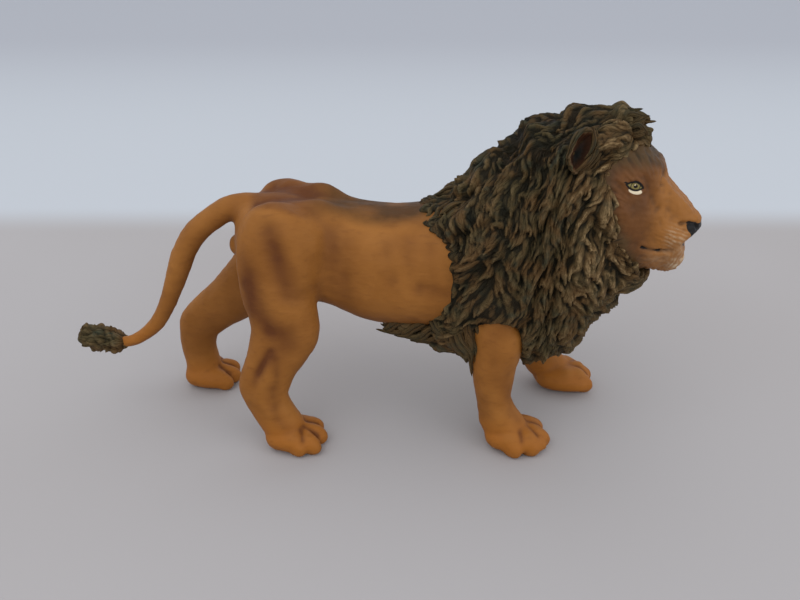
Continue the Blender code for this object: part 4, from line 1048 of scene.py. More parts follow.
def build_head():
    """Skull, chin and eyeballs under one skin, with lids, lips, nostrils and whisker pads."""
    eye, eye_size = EYEBALL
    forms = [tube(head_net()), ball(*CHIN)]
    forms += [ball(np.array(eye) * (1, side, 1), eye_size) for side in (-1, 1)]
    points, quads = skin_over(forms, FACE_VOXEL)
    edges = edges_of(quads)
    points = relax(points, edges, FACE_ROUNDS, np.ones(len(points)))
    normals = outward(points, quads)

    half = np.stack([points[:, 0], np.abs(points[:, 1]), points[:, 2]], axis=1)
    lift = np.zeros(len(points))
    for line, width, height in FACE_STROKES + FACE_LINES:
        lift += height * beside(half, line, width)
    notch = near(half, *LIP_NOTCH)
    lift += 0.5 * near(half, *EYE_BULGE) - 0.45 * near(half, *EYE_SOCKET) - 0.45 * notch
    bridge = np.interp(points[:, 2], BRIDGE[::-1, 0], BRIDGE[::-1, 1])
    bridge *= smoothstep((points[:, 0] - 57.5) / 4)
    points[:, 0] += bridge * (1 - smoothstep((half[:, 1] - 3.4) / 2.4))
    lift -= 0.3 * np.exp(-(points[:, 1] / LIP_GROOVE_WIDTH) ** 2) * near(half, *LIP_GROOVE)

    x, y, z = half.T
    pads = near(half, *WHISKER_PAD)
    wrinkle = np.sin((z + 0.28 * x - 0.25 * y) * 2 * math.pi / 0.8 + 0.6 * ripple(points, 2.5, 21))
    chin_skin = near(half, *CHIN_SKIN)
    chin_wrinkle = np.sin((x - 0.35 * z) * 2 * math.pi / 0.85 + 0.8 * ripple(points, 2.2, 22))
    lift += 0.07 * pads * wrinkle + 0.07 * chin_skin * chin_wrinkle
    lift += 0.07 * ripple(points, 3.5, 23) + 0.03 * ripple(points, 1.2, 24)
    # Fine hairs fan out from the muzzle where the mane begins
    bearing = np.arctan2(z - 57, x - 65)
    reach = np.hypot(z - 57, x - 65)
    fan = ripple(np.stack([bearing % (2 * math.pi) * 24, reach * 0.22, y * 0.3], axis=1), 1.3, 27)
    lift += 0.06 * fan * smoothstep((reach - 9.5) / 2)
    points = points + normals * lift[:, None]

    # Dark values: painted shade in hollows, under the jaw, above the brow and on undersides, and darker skin
    # toward the mane and on the forehead
    hollow = hollows(points, normals, edges, FACE_HOLLOW_ROUNDS)
    warm = np.clip(smoothstep((x - 58.5) / 5) * (0.9 - 0.25 * smoothstep((y - 5) / 4)), 0, 1)
    dark = np.clip(hollow * 45, 0, 0.6) + 0.75 * smoothstep((54.6 - x) / 3.0)
    dark += sum(strength * near(half, place, size) for place, size, strength in DARK_SPOTS)
    dark += 0.55 * beside(half, BROW_EDGE, 1.0) + 0.15 * np.clip(-normals[:, 2], 0, 1)
    dark += 0.5 * smoothstep((z - 66.5) / 3) * smoothstep((x - 58) / 3)
    hairline = np.interp(z, HAIRLINE[::-1, 1], HAIRLINE[::-1, 0])
    beyond = np.maximum(z + 0.05 * (59.3 - x) - 68.7, hairline - x) + 0.25 * fan
    hair = smoothstep((beyond + 2.0 - 0.8 * smoothstep((54 - z) / 3)) / 3.4)
    streak = np.clip(0.45 + 0.25 * fan, 0, 1)
    pale = 0.5 * pads * np.clip(0.5 + 0.6 * wrinkle, 0, 1) * smoothstep((x - 63) / 2)
    pale += 0.9 * chin_skin * np.clip(0.7 + 0.5 * chin_wrinkle, 0, 1) * smoothstep((x - 64.5) / 2)
    pale += sum(strength * near(half, place, size) for place, size, strength in PALE_SPOTS)
    nostril = beside(half, NOSTRIL, NOSTRIL_WIDTH)
    mouth = beside(half, MOUTH, MOUTH_WIDTH)
    pad = smoothstep((x - 67.75 + 0.22 * (z - 54)) / 0.35) * smoothstep((56.8 - z) / 0.35)
    pad *= smoothstep((z - 52.5) / 0.4) * smoothstep((3.0 + 0.45 * (z - 52.3) - y) / 0.4)
    black = np.clip(pad + 1.2 * nostril * smoothstep((x - 66.9) / 1.0) + 1.3 * mouth + 0.9 * notch, 0, 1)
    make_piece("face", turned(points), quads.tolist(), face_paint(), ("head",), "face_paint", warm=warm,
               dark=np.clip(dark, 0, 1), hair=hair, pale=np.clip(pale, 0, 1), black=black, streak=streak)


# Mane

def mane_net(along, around):
    """The ruff's smooth under-surface: rows of a net joined by smooth curves both ways."""
    rows = np.array(MANE_SHARES) * MANE_SIZE + WITHERS
    rows = np.concatenate([rows, rows[:, -2:0:-1] * (1, -1, 1)], axis=1)
    lengthwise = smooth_curve(rows, along)
    return np.swapaxes(closed_curve(np.swapaxes(lengthwise, 0, 1), around), 0, 1)


def net_normals(net):
    """Unit cross product of a net's two directions, on the side away from its middle line."""
    forward = np.gradient(net, axis=0)
    around = np.roll(net, -1, 1) - np.roll(net, 1, 1)
    normal = np.cross(around, forward)
    normal /= np.maximum(np.linalg.norm(normal, axis=2, keepdims=True), 1e-9)
    middle = net.mean(axis=1, keepdims=True)
    facing = (normal * (net - middle)).sum(axis=2).mean(axis=1)
    return normal * np.sign(facing.mean())


def down_from_crest(net):
    """Distance down each ring from the crest, the shorter way round, and half the longest ring."""
    step = np.linalg.norm(np.roll(net, -1, 1) - net, axis=2)
    left = np.cumsum(step, axis=1) - step
    whole = step.sum(axis=1, keepdims=True)
    return np.minimum(left, whole - left), whole.max() / 2


def hair_lay(x, share_down):
    """The angle from straight back toward straight down at which the hair lies."""
    lay = CREST_LAY + (SIDE_LAY - CREST_LAY) * smoothstep(share_down / 0.42)
    ahead = (x - WITHERS[0]) / MANE_SIZE[0]
    for turn, (start, end) in ((BEARD_LAY, BEARD_SHARES), (BELLY_LAY, BELLY_SHARES)):
        lay = lay + turn * smoothstep((ahead - start) / (end - start)) * smoothstep(share_down / 0.35)
    return np.radians(lay)


def main_locks(net):
    """Height of the topmost main lock, 0 to 1: tiers of pointed tiles on the chart of x against
    the distance down from the crest, each rising toward its tip."""
    chart = mane_net(*MAIN_COUNTS)
    low = chart[..., 0].min()
    pitch = (chart[..., 0].max() - low) / LOCKS_ALONG
    longest = down_from_crest(chart)[1]
    drop = longest / LOCKS_DOWN
    x = net[..., 0]
    down = down_from_crest(net)[0]
    height = np.zeros(x.shape)
    for tier in range(LOCKS_DOWN + 1):
        for number in range(LOCKS_ALONG + 1):
            phase = 2.4 * tier + 1.7 * number
            place_x = low + pitch * (number + 0.5 * (tier % 2) + LOCK_WOBBLE * math.sin(phase))
            place_down = drop * (tier + LOCK_WOBBLE * math.sin(2 * phase + 1))
            lay = hair_lay(place_x, place_down / longest)
            ahead = -(x - place_x) * math.cos(lay) + (down - place_down) * math.sin(lay)
            aside = (x - place_x) * math.sin(lay) + (down - place_down) * math.cos(lay)
            t = np.clip(ahead / LOCK_LENGTH + 0.5, 0, 1)
            aside = aside + LOCK_BEND * math.sin(3 * phase) * LOCK_WIDTH * (2 * t - 1) ** 2
            width = LOCK_WIDTH / 2 * (0.5 + 0.5 * np.sin(np.pi * np.minimum(1.2 * t, 1))) * np.sqrt(1 - t**4)
            inside = np.clip(1 - (aside / np.maximum(width, 0.3)) ** 2, 0, 1)
            rise = (0.25 + 0.75 * t) * np.clip(5 * (1 - t), 0, 1) * (t > 0)
            height = np.maximum(height, rise * inside**0.8)
    return height


def leg_window(net):
    """1 where a foreleg comes out of the hair and 0 elsewhere, with a soft edge."""
    x, y, z = np.moveaxis(net, -1, 0)
    window = np.zeros(x.shape)
    for side, table in ((-1, RIGHT_FORE), (1, LEFT_FORE)):
        rows = np.array(table)[::-1]
        centre = np.interp(z, rows[:, 2], rows[:, 0])
        reach = np.interp(z, rows[:, 2], rows[:, 3])
        inside = smoothstep((reach - np.abs(x - centre)) / WINDOW_EDGE + 0.5)
        fall = 0.17 * np.maximum(x - centre, 0) ** 2 + 0.07 * np.maximum(centre - x, 0) ** 2
        inside *= smoothstep((WINDOW_TOP - fall - z) / WINDOW_EDGE + 0.5)
        window += inside * (side * y > 6.6)
    return window


def hair_field(net, normals):
    """How net rows and columns change per millimetre along the hair, and square to it."""
    forward = np.gradient(net, axis=0)
    around = (np.roll(net, -1, 1) - np.roll(net, 1, 1)) / 2
    half = np.where(np.arange(net.shape[1]) < net.shape[1] / 2, 1.0, -1.0)[None, :, None]
    down = half * around / np.linalg.norm(around, axis=2, keepdims=True)
    ahead = forward - down * (forward * down).sum(axis=2, keepdims=True)
    ahead /= np.maximum(np.linalg.norm(ahead, axis=2, keepdims=True), 1e-6)
    fallen, longest = down_from_crest(net)
    lay = hair_lay(net[..., 0], fallen / longest)
    lay = lay + 0.4 * (1 - smoothstep(fallen / longest / 0.4))
    lay = (lay + 0.34 * ripple(net, 11, 31) + 0.20 * ripple(net, 5, 33))[..., None]
    flow = np.sin(lay) * down - np.cos(lay) * ahead
    a = (forward**2).sum(axis=2)
    b = (forward * around).sum(axis=2)
    c = (around**2).sum(axis=2)
    area = np.maximum(a * c - b * b, 1e-6)
    rates = []
    for way in (flow, np.cross(normals, flow)):
        f = (way * forward).sum(axis=2)
        g = (way * around).sum(axis=2)
        rates.append(np.stack([(c * f - b * g) / area, (a * g - b * f) / area], axis=-1))
    return rates


def lock_paths(seeds, lengths, bends, field, shape, steps=9):
    """Net places of lines that follow the hair from each seed, curling in an S on the way."""
    place = np.stack(np.unravel_index(seeds, shape), axis=1).astype(float)
    line = [place]
    for step in range(steps - 1):
        row = np.rint(place[:, 0]).astype(int)
        column = np.rint(place[:, 1]).astype(int) % shape[1]
        curl = bends * math.cos(2 * math.pi * step / (steps - 1))
        rate = field[0][row, column] * np.cos(curl)[:, None] + field[1][row, column] * np.sin(curl)[:, None]
        place = place + rate * (lengths / (steps - 1))[:, None]
        place[:, 0] = np.clip(place[:, 0], 0, shape[0] - 1)
        line.append(place)
    return np.stack(line, axis=1)


def on_net(net, places):
    """Points of the net at fractional rows and columns."""
    row = np.minimum(places[..., 0].astype(int), net.shape[0] - 2)
    column = np.floor(places[..., 1]).astype(int)
    s = (places[..., 0] - row)[..., None]
    t = (places[..., 1] - column)[..., None]
    first = column % net.shape[1]
    second = (column + 1) % net.shape[1]
    near_row = net[row, first] * (1 - t) + net[row, second] * t
    far_row = net[row + 1, first] * (1 - t) + net[row + 1, second] * t
    return near_row * (1 - s) + far_row * s


def scattered(places, area, spacing, seed, tries):
    """Sample numbers spread at random over the skin, none nearer another than the spacing."""
    dice = np.random.default_rng(seed)
    picks = dice.choice(len(places), tries, p=area / area.sum())
    kept = np.empty(tries, int)
    spots = np.full((tries, 3), np.inf)
    count = 0
    for pick in picks:
        if count and ((spots[:count] - places[pick]) ** 2).sum(axis=1).min() < spacing**2:
            continue
        kept[count] = pick
        spots[count] = places[pick]
        count += 1
    return kept[:count]


def lay_locks(net, normals, places, widths, heights, roundness):
    """Height, side distance and tone of the topmost lock at each place of the net."""
    along, around = net.shape[:2]
    height, across = np.zeros((2, along, around))
    tone = np.full((along, around), 0.3)
    tones = rng.uniform(0, 1, len(places))
    lines = on_net(net, places)
    for number, path in enumerate(lines):
        row, column = places[number].T
        up = normals[int(row[4]), int(column[4]) % around]
        pad = widths[number] / NET_STEP + 1
        low = max(int(row.min() - pad), 0)
        high = min(int(row.max() + pad) + 1, along)
        wide = np.arange(int(column.min() - pad), int(column.max() + pad) + 1) % around
        grid = np.ix_(np.arange(low, high), wide)
        patch = net[grid]
        best = np.full(patch.shape[:2], np.inf)
        progress = np.zeros(patch.shape[:2])
        aside = np.zeros(patch.shape[:2])
        for index in range(len(path) - 1):
            start = path[index]
            step = path[index + 1] - start
            t = np.clip((patch - start) @ step / max(step @ step, 1e-9), 0, 1)
            offset = patch - start - t[..., None] * step
            away = (offset**2).sum(axis=2)
            closer = away < best
            best = np.where(closer, away, best)
            progress = np.where(closer, (index + t) / (len(path) - 1), progress)
            aside = np.where(closer, np.sign(offset @ np.cross(up, step)) * np.sqrt(away), aside)
        width = widths[number] * (0.45 + 0.55 * np.sin(np.pi * np.clip(progress * 1.25, 0, 1)))
        width *= np.sqrt(np.clip(1 - progress**4, 0, 1)) + 0.02
        inside = np.clip(1 - best / width**2, 0, 1)
        rise = heights[number] * (0.30 + 0.70 * progress) * np.clip((1 - progress) * 9, 0, 1) ** 0.5
        value = rise * inside**roundness
        upper = value > height[grid]
        height[grid] = np.where(upper, value, height[grid])
        across[grid] = np.where(upper, aside, across[grid])
        tone[grid] = np.where(upper, tones[number], tone[grid])
    return height, across, tone


def blurred(values, rounds):
    """Net values averaged again and again with their four neighbours."""
    for _ in range(rounds):
        ends = np.concatenate([values[:1], values, values[-1:]])
        beside_it = np.roll(values, 1, 1) + np.roll(values, -1, 1) + ends[:-2] + ends[2:]
        values = (values + beside_it) / 5
    return values


def free_lock(stops, width, thick, around=12, count=16):
    """A single tapering lock: an oval carried along a smooth line, pointed at its tip."""
    stops = np.asarray(stops, float)
    line = smooth_curve(stops, count)
    t = np.linspace(0, 1, count)
    size = (0.55 + 0.45 * np.sin(np.pi * np.clip(t * 1.3, 0, 1))) * np.sqrt(np.clip(1 - t**3, 0, 1)) + 0.04
    tangent = np.gradient(line, axis=0)
    tangent /= np.linalg.norm(tangent, axis=1, keepdims=True)
    side = np.sign(stops[:, 1].mean() or -1)
    outer = np.array([0.0, side, 0.25]) - tangent * (tangent @ np.array([0.0, side, 0.25]))[:, None]
    outer /= np.linalg.norm(outer, axis=1, keepdims=True)
    wide = np.cross(outer, tangent)
    angle = circle(around)[None, :, None]
    ridge = 1 + 0.13 * np.cos(angle * 3 + 6 * t[:, None, None])
    rings = (line[:, None] + wide[:, None] * (size * width / 2)[:, None, None] * np.cos(angle) * ridge
             + outer[:, None] * (size * thick / 2)[:, None, None] * np.sin(angle) * ridge)
    return rings


def lock_bundle(stops, width, thick):
    """Three thinner locks side by side in place of one, each with a tip of its own."""
    course = stops[-1] - stops[0]
    aside = np.cross(course, (0, np.sign(stops[:, 1].mean() or -1), 0))
    aside /= np.linalg.norm(aside)
    for share, reach in ((-0.33, 0.62), (0.02, 1.0), (0.33, 0.36)):
        strand = stops + share * width * aside
        bend = 0.2 * width * (1 if share > 0 else -1)
        strand[1] += bend * aside
        strand[2] -= 0.8 * bend * aside
        strand[-1] = strand[-2] + reach * (strand[-1] - strand[-2]) - 0.4 * share * width * aside
        yield strand, 0.6 * width, thick * (0.9 + 0.3 * share)


def lock_paint(rings, tone, pale):
    """Paint values over a free lock, whose relief, rising toward the tip and on three ridges, sets painted
    highlight and shade.
    """
    along, around = rings.shape[:2]
    angle = circle(around)[None]
    relief = (0.34 + 0.22 * np.linspace(0, 1, along))[:, None] + 0.18 * np.cos(3 * angle)
    across = np.repeat(np.cos(angle), along, 0) * 0.9
    count = along * around + 2
    return {"relief": with_poles(relief, relief[0].mean(), relief[-1].mean()),
            "across": with_poles(across, across[0].mean(), across[-1].mean()),
            "tone": np.full(count, tone), "pale": np.full(count, pale)}


# Free locks that break the outline: stops, width, thickness
FREE_LOCKS = (
    # The tuft behind the elbow
    (((17.5, -11.6, 34.0), (19.6, -12.6, 29.0), (21.0, -13.4, 25.0), (22.4, -13.9, 19.6)), 3.6, 2.6),
    (((15.5, -11.2, 33.0), (17.8, -12.2, 29.0), (19.4, -12.9, 26.4), (20.8, -13.2, 23.4)), 3.0, 2.2),
    (((21.2, -13.0, 34.0), (22.2, -13.8, 30.0), (22.7, -14.2, 26.5), (22.9, -14.2, 23.2)), 2.6, 2.2),
    (((13.5, -10.8, 33.0), (15.6, -11.6, 31.0), (17.2, -12.2, 29.4), (18.4, -12.4, 27.6)), 2.8, 2.0),
    (((18.6, -13.4, 32.5), (20.3, -14.4, 29.2), (21.4, -14.8, 26.4), (22.2, -14.6, 23.4)), 2.6, 1.8),
    (((20.2, -12.0, 30.0), (21.6, -12.6, 26.5), (22.4, -13.0, 23.5), (23.0, -13.2, 21.2)), 2.2, 2.0),
    # Belly fringe
    (((8.0, -8.6, 31.0), (5.4, -8.6, 29.6), (3.0, -8.2, 28.6), (0.4, -7.6, 28.4)), 2.6, 1.6),
    (((12.0, -9.4, 30.5), (9.4, -9.4, 28.8), (7.0, -9.0, 27.8), (4.6, -8.6, 27.3)), 2.6, 1.8),
    (((15.5, -10.0, 30.0), (13.0, -10.0, 28.5), (10.8, -9.6, 27.2), (8.4, -9.2, 26.3)), 2.6, 1.8),
    (((18.5, -10.8, 30.0), (16.4, -10.8, 28.6), (14.4, -10.4, 27.4), (12.4, -9.8, 26.6)), 2.6, 1.8),
    (((20.5, -11.4, 29.5), (18.8, -11.6, 28.4), (17.2, -11.4, 27.4), (15.6, -11.0, 26.9)), 2.4, 1.8),
    (((7.6, -7.0, 29.8), (5.2, -6.6, 28.8), (3.2, -6.0, 28.4), (1.4, -5.2, 28.5)), 2.4, 1.5),
    (((10.0, -6.5, 29.0), (7.4, -6.2, 27.4), (5.0, -5.8, 26.8), (2.6, -5.4, 26.8)), 2.6, 1.6),
    (((14.0, -7.0, 28.4), (11.6, -6.8, 26.6), (9.2, -6.4, 25.8), (6.8, -6.0, 25.6)), 2.6, 1.6),
    # Shoulder tips over the back
    (((20.5, -5.0, 57.4), (17.6, -5.8, 56.6), (15.2, -6.6, 55.9), (13.2, -7.2, 55.2)), 2.2, 1.6),
    (((20.5, -7.0, 56.8), (18.0, -7.8, 55.8), (16.0, -8.6, 54.8), (14.6, -9.2, 53.6)), 2.2, 1.6),
    (((21.5, -8.8, 55.4), (19.6, -9.6, 53.8), (18.0, -10.2, 52.2), (16.8, -10.6, 50.4)), 2.4, 1.5),
    # Forelock
    (((50.4, -0.8, 75.4), (52.0, -0.8, 76.6), (54.0, -0.6, 77.3), (55.6, -0.4, 78.1)), 2.4, 1.8),
    (((52.4, -1.8, 75.0), (54.0, -1.8, 76.0), (55.8, -1.6, 76.5), (57.2, -1.4, 77.0)), 2.2, 1.8),
    (((53.0, 2.2, 74.6), (54.6, 2.2, 75.4), (56.6, 2.0, 75.5), (58.4, 1.8, 75.4)), 2.2, 1.8),
    (((53.6, -3.4, 73.8), (55.2, -3.4, 74.4), (56.6, -3.2, 74.2), (57.6, -3.0, 73.4)), 2.0, 1.6),
)


# Strands over each ear's front edge: stops up the ear, forward across it and out of it; width, thickness
EAR_LOCKS = (
    (((6.2, 0.6, 0.2), (3.4, 2.6, 1.6), (0.2, 3.0, 1.9), (-3.4, 2.5, 1.0)), 1.5, 1.0),
    (((6.6, 2.4, 0.0), (3.6, 3.8, 1.0), (0.0, 4.0, 1.2), (-4.4, 3.4, 0.6)), 1.7, 1.1),
    (((5.6, -0.6, 1.0), (3.8, 0.9, 2.0), (1.8, 1.6, 2.2), (-0.6, 1.5, 1.8)), 1.1, 0.8),
    (((7.0, 3.6, -0.6), (4.0, 5.0, 0.2), (0.4, 5.2, 0.6), (-3.4, 4.6, 0.2)), 1.7, 1.1),
    (((2.4, 2.6, 1.6), (0.2, 2.4, 2.1), (-2.2, 1.8, 1.9), (-4.6, 0.8, 1.0)), 1.1, 0.8),
    (((5.4, -0.4, 0.8), (3.6, -2.2, 1.3), (0.4, -2.9, 1.4), (-3.6, -2.0, 1.0)), 0.9, 0.8),
    (((4.6, -1.4, 0.4), (2.0, -3.0, 0.7), (-1.2, -3.1, 0.7), (-4.8, -1.4, 0.4)), 1.0, 0.9),
    (((5.2, 0.6, 0.9), (4.6, -0.9, 1.4), (3.2, -2.2, 1.5), (1.2, -2.8, 1.4)), 0.8, 0.7),
)


# Middle of an ear's mouth, where it faces and how it leans, with y outward
EAR_MIDDLE = (44.6, 12.3, 71.2)
EAR_FACING = (0.70, 0.68, 0.22)
EAR_LEAN = (1.15, 0.0, 1.0)


def ear_axes(side):
    """Middle of an ear's mouth and its directions: up the ear, forward across it, out of it."""
    centre = np.array(EAR_MIDDLE) * (1, side, 1)
    facing = np.array(EAR_FACING) * (1, side, 1)
    facing /= np.linalg.norm(facing)
    lean = np.array(EAR_LEAN)
    lean -= facing * (lean @ facing)
    lean /= np.linalg.norm(lean)
    return centre, lean, -side * np.cross(lean, facing), facing


# Steps of the crest: x, how far the top rises; and of the chest: z, how far the front comes forward
CREST = np.array([(15, 0), (17.5, -0.8), (18.8, -1.7), (21, -1.6), (22.1, 0.2), (24.1, 0.9), (26.1, 1.0),
                  (27.1, 0.2), (29.2, -1.3), (31.2, -1.6), (32.2, -0.3), (35.2, -1.0), (37.2, -0.8),
                  (40, -1.3), (42, -0.2), (44, 0.4), (47, 0.7), (49.5, 1.1), (51, 0.6), (52.5, 0)])
CHEST = np.array([(29.5, 0), (31.5, 0.4), (33, 0.9), (34.5, 0.7), (36, -0.2), (37.5, -1.0), (39.7, -1.3),
                  (42, -0.6), (44, 0)])


# Soft spots on the mane's net: place with y outward, size, and how deep or full
EAR_NEST = ((45.4, 12.6, 71.2), (2.6, 2.6, 3.2), 1.9)
SHOULDER = ((28, 0, 38.5), (8, 1, 3.6), 1.6)


def lay_hair(net, normals, field, area, layer):
    """Height, side distance and tone of one layer of locks scattered over the net."""
    spacing, seed, tries, length, width, height, roundness = layer
    roots = scattered(net.reshape(-1, 3), area.ravel(), spacing, seed, tries)
    count = len(roots)
    paths = lock_paths(roots, rng.uniform(*length, count), rng.normal(0, HAIR_CURL, count), field,
                       net.shape[:2])
    return lay_locks(net, normals, paths, rng.uniform(*width, count), rng.uniform(*height, count), roundness)


def mane_skin(net, normals, main, fine, window):
    """The hair's surface: locks raised on the net, then its crest, chest and hem shaped."""
    row = np.linspace(0, 1, len(net))[:, None]
    ends = smoothstep(row * 10) * smoothstep((1 - row) * 5)
    hem = HEM_SHARE + (1 - HEM_SHARE) * smoothstep((row - 0.02) / 0.06)
    fine = fine * hem * smoothstep((1 - row) / 0.05)
    lift = LOCK_HEIGHT * (main - MAIN_REST) * ends * (1 - window) + fine * (1 - 0.6 * window)
    lift = np.where(row < 0.02, -0.4, lift - WINDOW_DEPTH * window)

    # Full hair over the shoulders, a nest for each ear, less over the brow
    place, size, fullness = SHOULDER
    shoulder = near(net * (1, 0, 1), place, size) * (np.abs(net[..., 1]) > 6) * (1 - window)
    lift += np.clip(fullness * shoulder, 0, 1) * np.maximum(0.5 - lift, 0)
    place, size, depth = EAR_NEST
    for side in (-1, 1):
        lift -= depth * near(net, np.array(place) * (1, side, 1), size)
    lift -= 0.9 * smoothstep((net[..., 0] - 53) / 3) * smoothstep((net[..., 2] - 71.5) / 2)
    skin = turned(net + normals * lift[..., None])
    up = np.interp(skin[..., 0], CREST[:, 0], CREST[:, 1]) * smoothstep((skin[..., 2] - 57) / 5)
    skin[..., 2] += up * np.exp(-((net[..., 1] / 7) ** 2)) * smoothstep(row * 12)
    out = np.interp(skin[..., 2], CHEST[:, 0], CHEST[:, 1])
    skin[..., 0] += out * smoothstep((skin[..., 0] - 44) / 5) * smoothstep((46 - skin[..., 2]) / 4)
    bearing = circle(net.shape[1])[None, :]
    tips = np.abs(np.sin(17 * bearing + 0.9 * np.sin(5 * bearing))) ** 0.8
    tips *= 0.65 + 0.35 * np.sin(8 * bearing + 1)
    skin[..., 0] -= 1.3 * tips * (1 - smoothstep(row / 0.09)) * smoothstep(row / 0.012)
    return skin


def free_strands(side):
    """The locks that hang free on one half: stops, width, thickness and paleness."""
    for stops, width, thick in FREE_LOCKS:
        stops = np.array(stops, float)
        front = stops[0, 0] > 50
        if (side > 0) == (stops[:, 1].mean() < 0):
            if front:
                continue
            stops = stops * (1, -1, 1)
        for strand in lock_bundle(stops, width, thick):
            yield *strand, 0.5 if front else 0.1
    centre, *axes = ear_axes(side)
    for stops, width, thick in EAR_LOCKS:
        yield centre + np.array(stops) @ np.stack(axes), width, thick, 0.5


def outward_tube(rings):
    """A tube whose faces look outward, whichever way its rings run."""
    points, quads, fans = tube(rings)
    first = rings[0, 0]
    facing = np.cross(rings[0, 1] - first, rings[1, 0] - first)
    if facing @ (first - rings[0].mean(axis=0)) > 0:
        return points, quads[:, ::-1], fans[:, ::-1]
    return points, quads, fans


def mane_half(name, columns, side, skin, values, material):
    """One half of the ruff, closed by a flat wall in the middle, with its free locks."""
    wall = np.linspace(0, 1, WALL_COLUMNS + 2)[1:-1]
    rings = skin[:, columns]
    inner = rings[:, -1:] + (rings[:, :1] - rings[:, -1:]) * wall[None, :, None]
    parts = [tube(np.concatenate([rings, inner], axis=1))]
    bare = np.zeros((len(skin), WALL_COLUMNS))
    paints = [{key: with_poles(np.concatenate([value[:, columns], bare], axis=1), 0, 0)
               for key, value in values.items()}]
    for stops, width, thick, pale in free_strands(side):
        lock = turned(free_lock(stops, width, thick))
        parts.append(outward_tube(lock))
        paints.append(lock_paint(lock, rng.uniform(0.2, 0.9), pale))
    make_piece(name, *joined(parts), material, (name + "_half",), "mane_paint",
               **{key: np.concatenate([paint[key] for paint in paints]) for key in values})


def mane_halves(material):
    """The ruff's two halves under clumps and strands of hair."""
    net = mane_net(*NET_SIZE)
    normals = net_normals(net)
    field = hair_field(net, normals)
    row = np.linspace(0, 1, len(net))[:, None]
    area = np.linalg.norm(np.cross(np.gradient(net, axis=0), np.gradient(net, axis=1)), axis=2)
    area *= (row > 0.03) & (row < 0.985)
    big, _, big_tone = lay_hair(net, normals, field, area, CLUMPS)
    small, across, tone = lay_hair(net, normals, field, area, STRANDS)
    main = blurred(main_locks(net), MAIN_BLUR)
    fine = (big - CLUMP_REST) + (small - STRAND_REST)
    skin = mane_skin(net, normals, main, fine, leg_window(net))

    # Painted shade in the hollows and over the top, darker toward the back, and painted highlights with
    # dry-brushed paint on the ridges
    detail = big + small + 0.8 * main
    ridge = detail - blurred(detail, RIDGE_BLUR)
    x, y, z = np.moveaxis(net, -1, 0)
    top = smoothstep((z - 62) / 10) * smoothstep((52 - x) / 8)
    relief = 0.52 + ridge / 0.85 + 0.2 * (main - 0.4) - 0.34 * top - 0.18 * smoothstep((38 - x) / 8)
    relief = np.clip(np.maximum(relief, 0.5 * smoothstep((row - 0.93) / 0.03)), 0, 1)
    pale = smoothstep((x - 43) / 7) * smoothstep((z - 34) / 12) * (1 - 0.6 * smoothstep((z - 70) / 4))
    tone = np.clip(0.4 * tone + 0.4 * big_tone + 0.35 * pale, 0, 1) * (1 - 0.6 * top)
    values = {"relief": relief, "across": across, "tone": tone, "pale": pale}
    around = net.shape[1]
    middle = around // 2
    mane_half("mane_right", np.arange(middle, around + 1) % around, -1, skin, values, material)
    mane_half("mane_left", np.arange(0, middle + 1), 1, skin, values, material)


# Ears

# An ear's outline from its root over the rim into the cup: how far out, radius
EAR_PROFILE = (
    (-2.2, 0.3), (-2.1, 1.6), (-1.5, 2.9), (-0.4, 3.9), (0.7, 4.35), (1.3, 4.45), (1.6, 4.2),
    (1.4, 3.8), (0.7, 3.35), (-0.3, 2.6), (-0.9, 1.5), (-1.1, 0.3),
)
# Rings of an ear and points in each, and the rings where the cup and its shadow begin
EAR_NET = (44, 64)
CUP_START = 24
SHADOW_START = 28


def build_ear(name, node, side):
    """A cup: a lip-shaped profile carried round a tall oval."""
    along, around = EAR_NET
    rows = smooth_curve(EAR_PROFILE, along)
    angle = circle(around)[None, :]
    tall = 1.06 + 0.10 * np.cos(angle - 0.2)
    narrow = 0.68 + 0.04 * np.cos(2 * angle)
    waver = 1 + 0.05 * np.sin(5 * angle + 1) + 0.04 * np.sin(13 * angle) + 0.03 * np.sin(29 * angle)
    radius = rows[:, 1, None] * waver
    depth = rows[:, 0, None]
    centre, lean, level, facing = ear_axes(side)
    level = -side * level
    rings = (centre + depth[..., None] * facing + (radius * tall * np.cos(angle))[..., None] * lean
             + (radius * narrow * np.sin(angle))[..., None] * level)
    ring = np.arange(along)[:, None]
    cup = np.clip((ring - CUP_START) / 6, 0, 1) + 0 * angle
    # Painted shadow deep in the cup, heaviest on one side
    dark = cup * np.clip(0.45 + 0.55 * np.sin(angle) * -side, 0, 1)
    dark *= np.clip((ring - SHADOW_START) / 10, 0, 1)
    make_piece(name, *joined([tube(turned(rings))]), ear_paint(), (node,), "ear_paint",
               cup=with_poles(cup, 0, 1), dark=with_poles(dark, 0, 1))


# Rings of the tuft and points in each, its locks, and how deep its net lies under them
TUFT_NET = (120, 150)
TUFT_LOCKS = 46
TUFT_SINK = 0.45


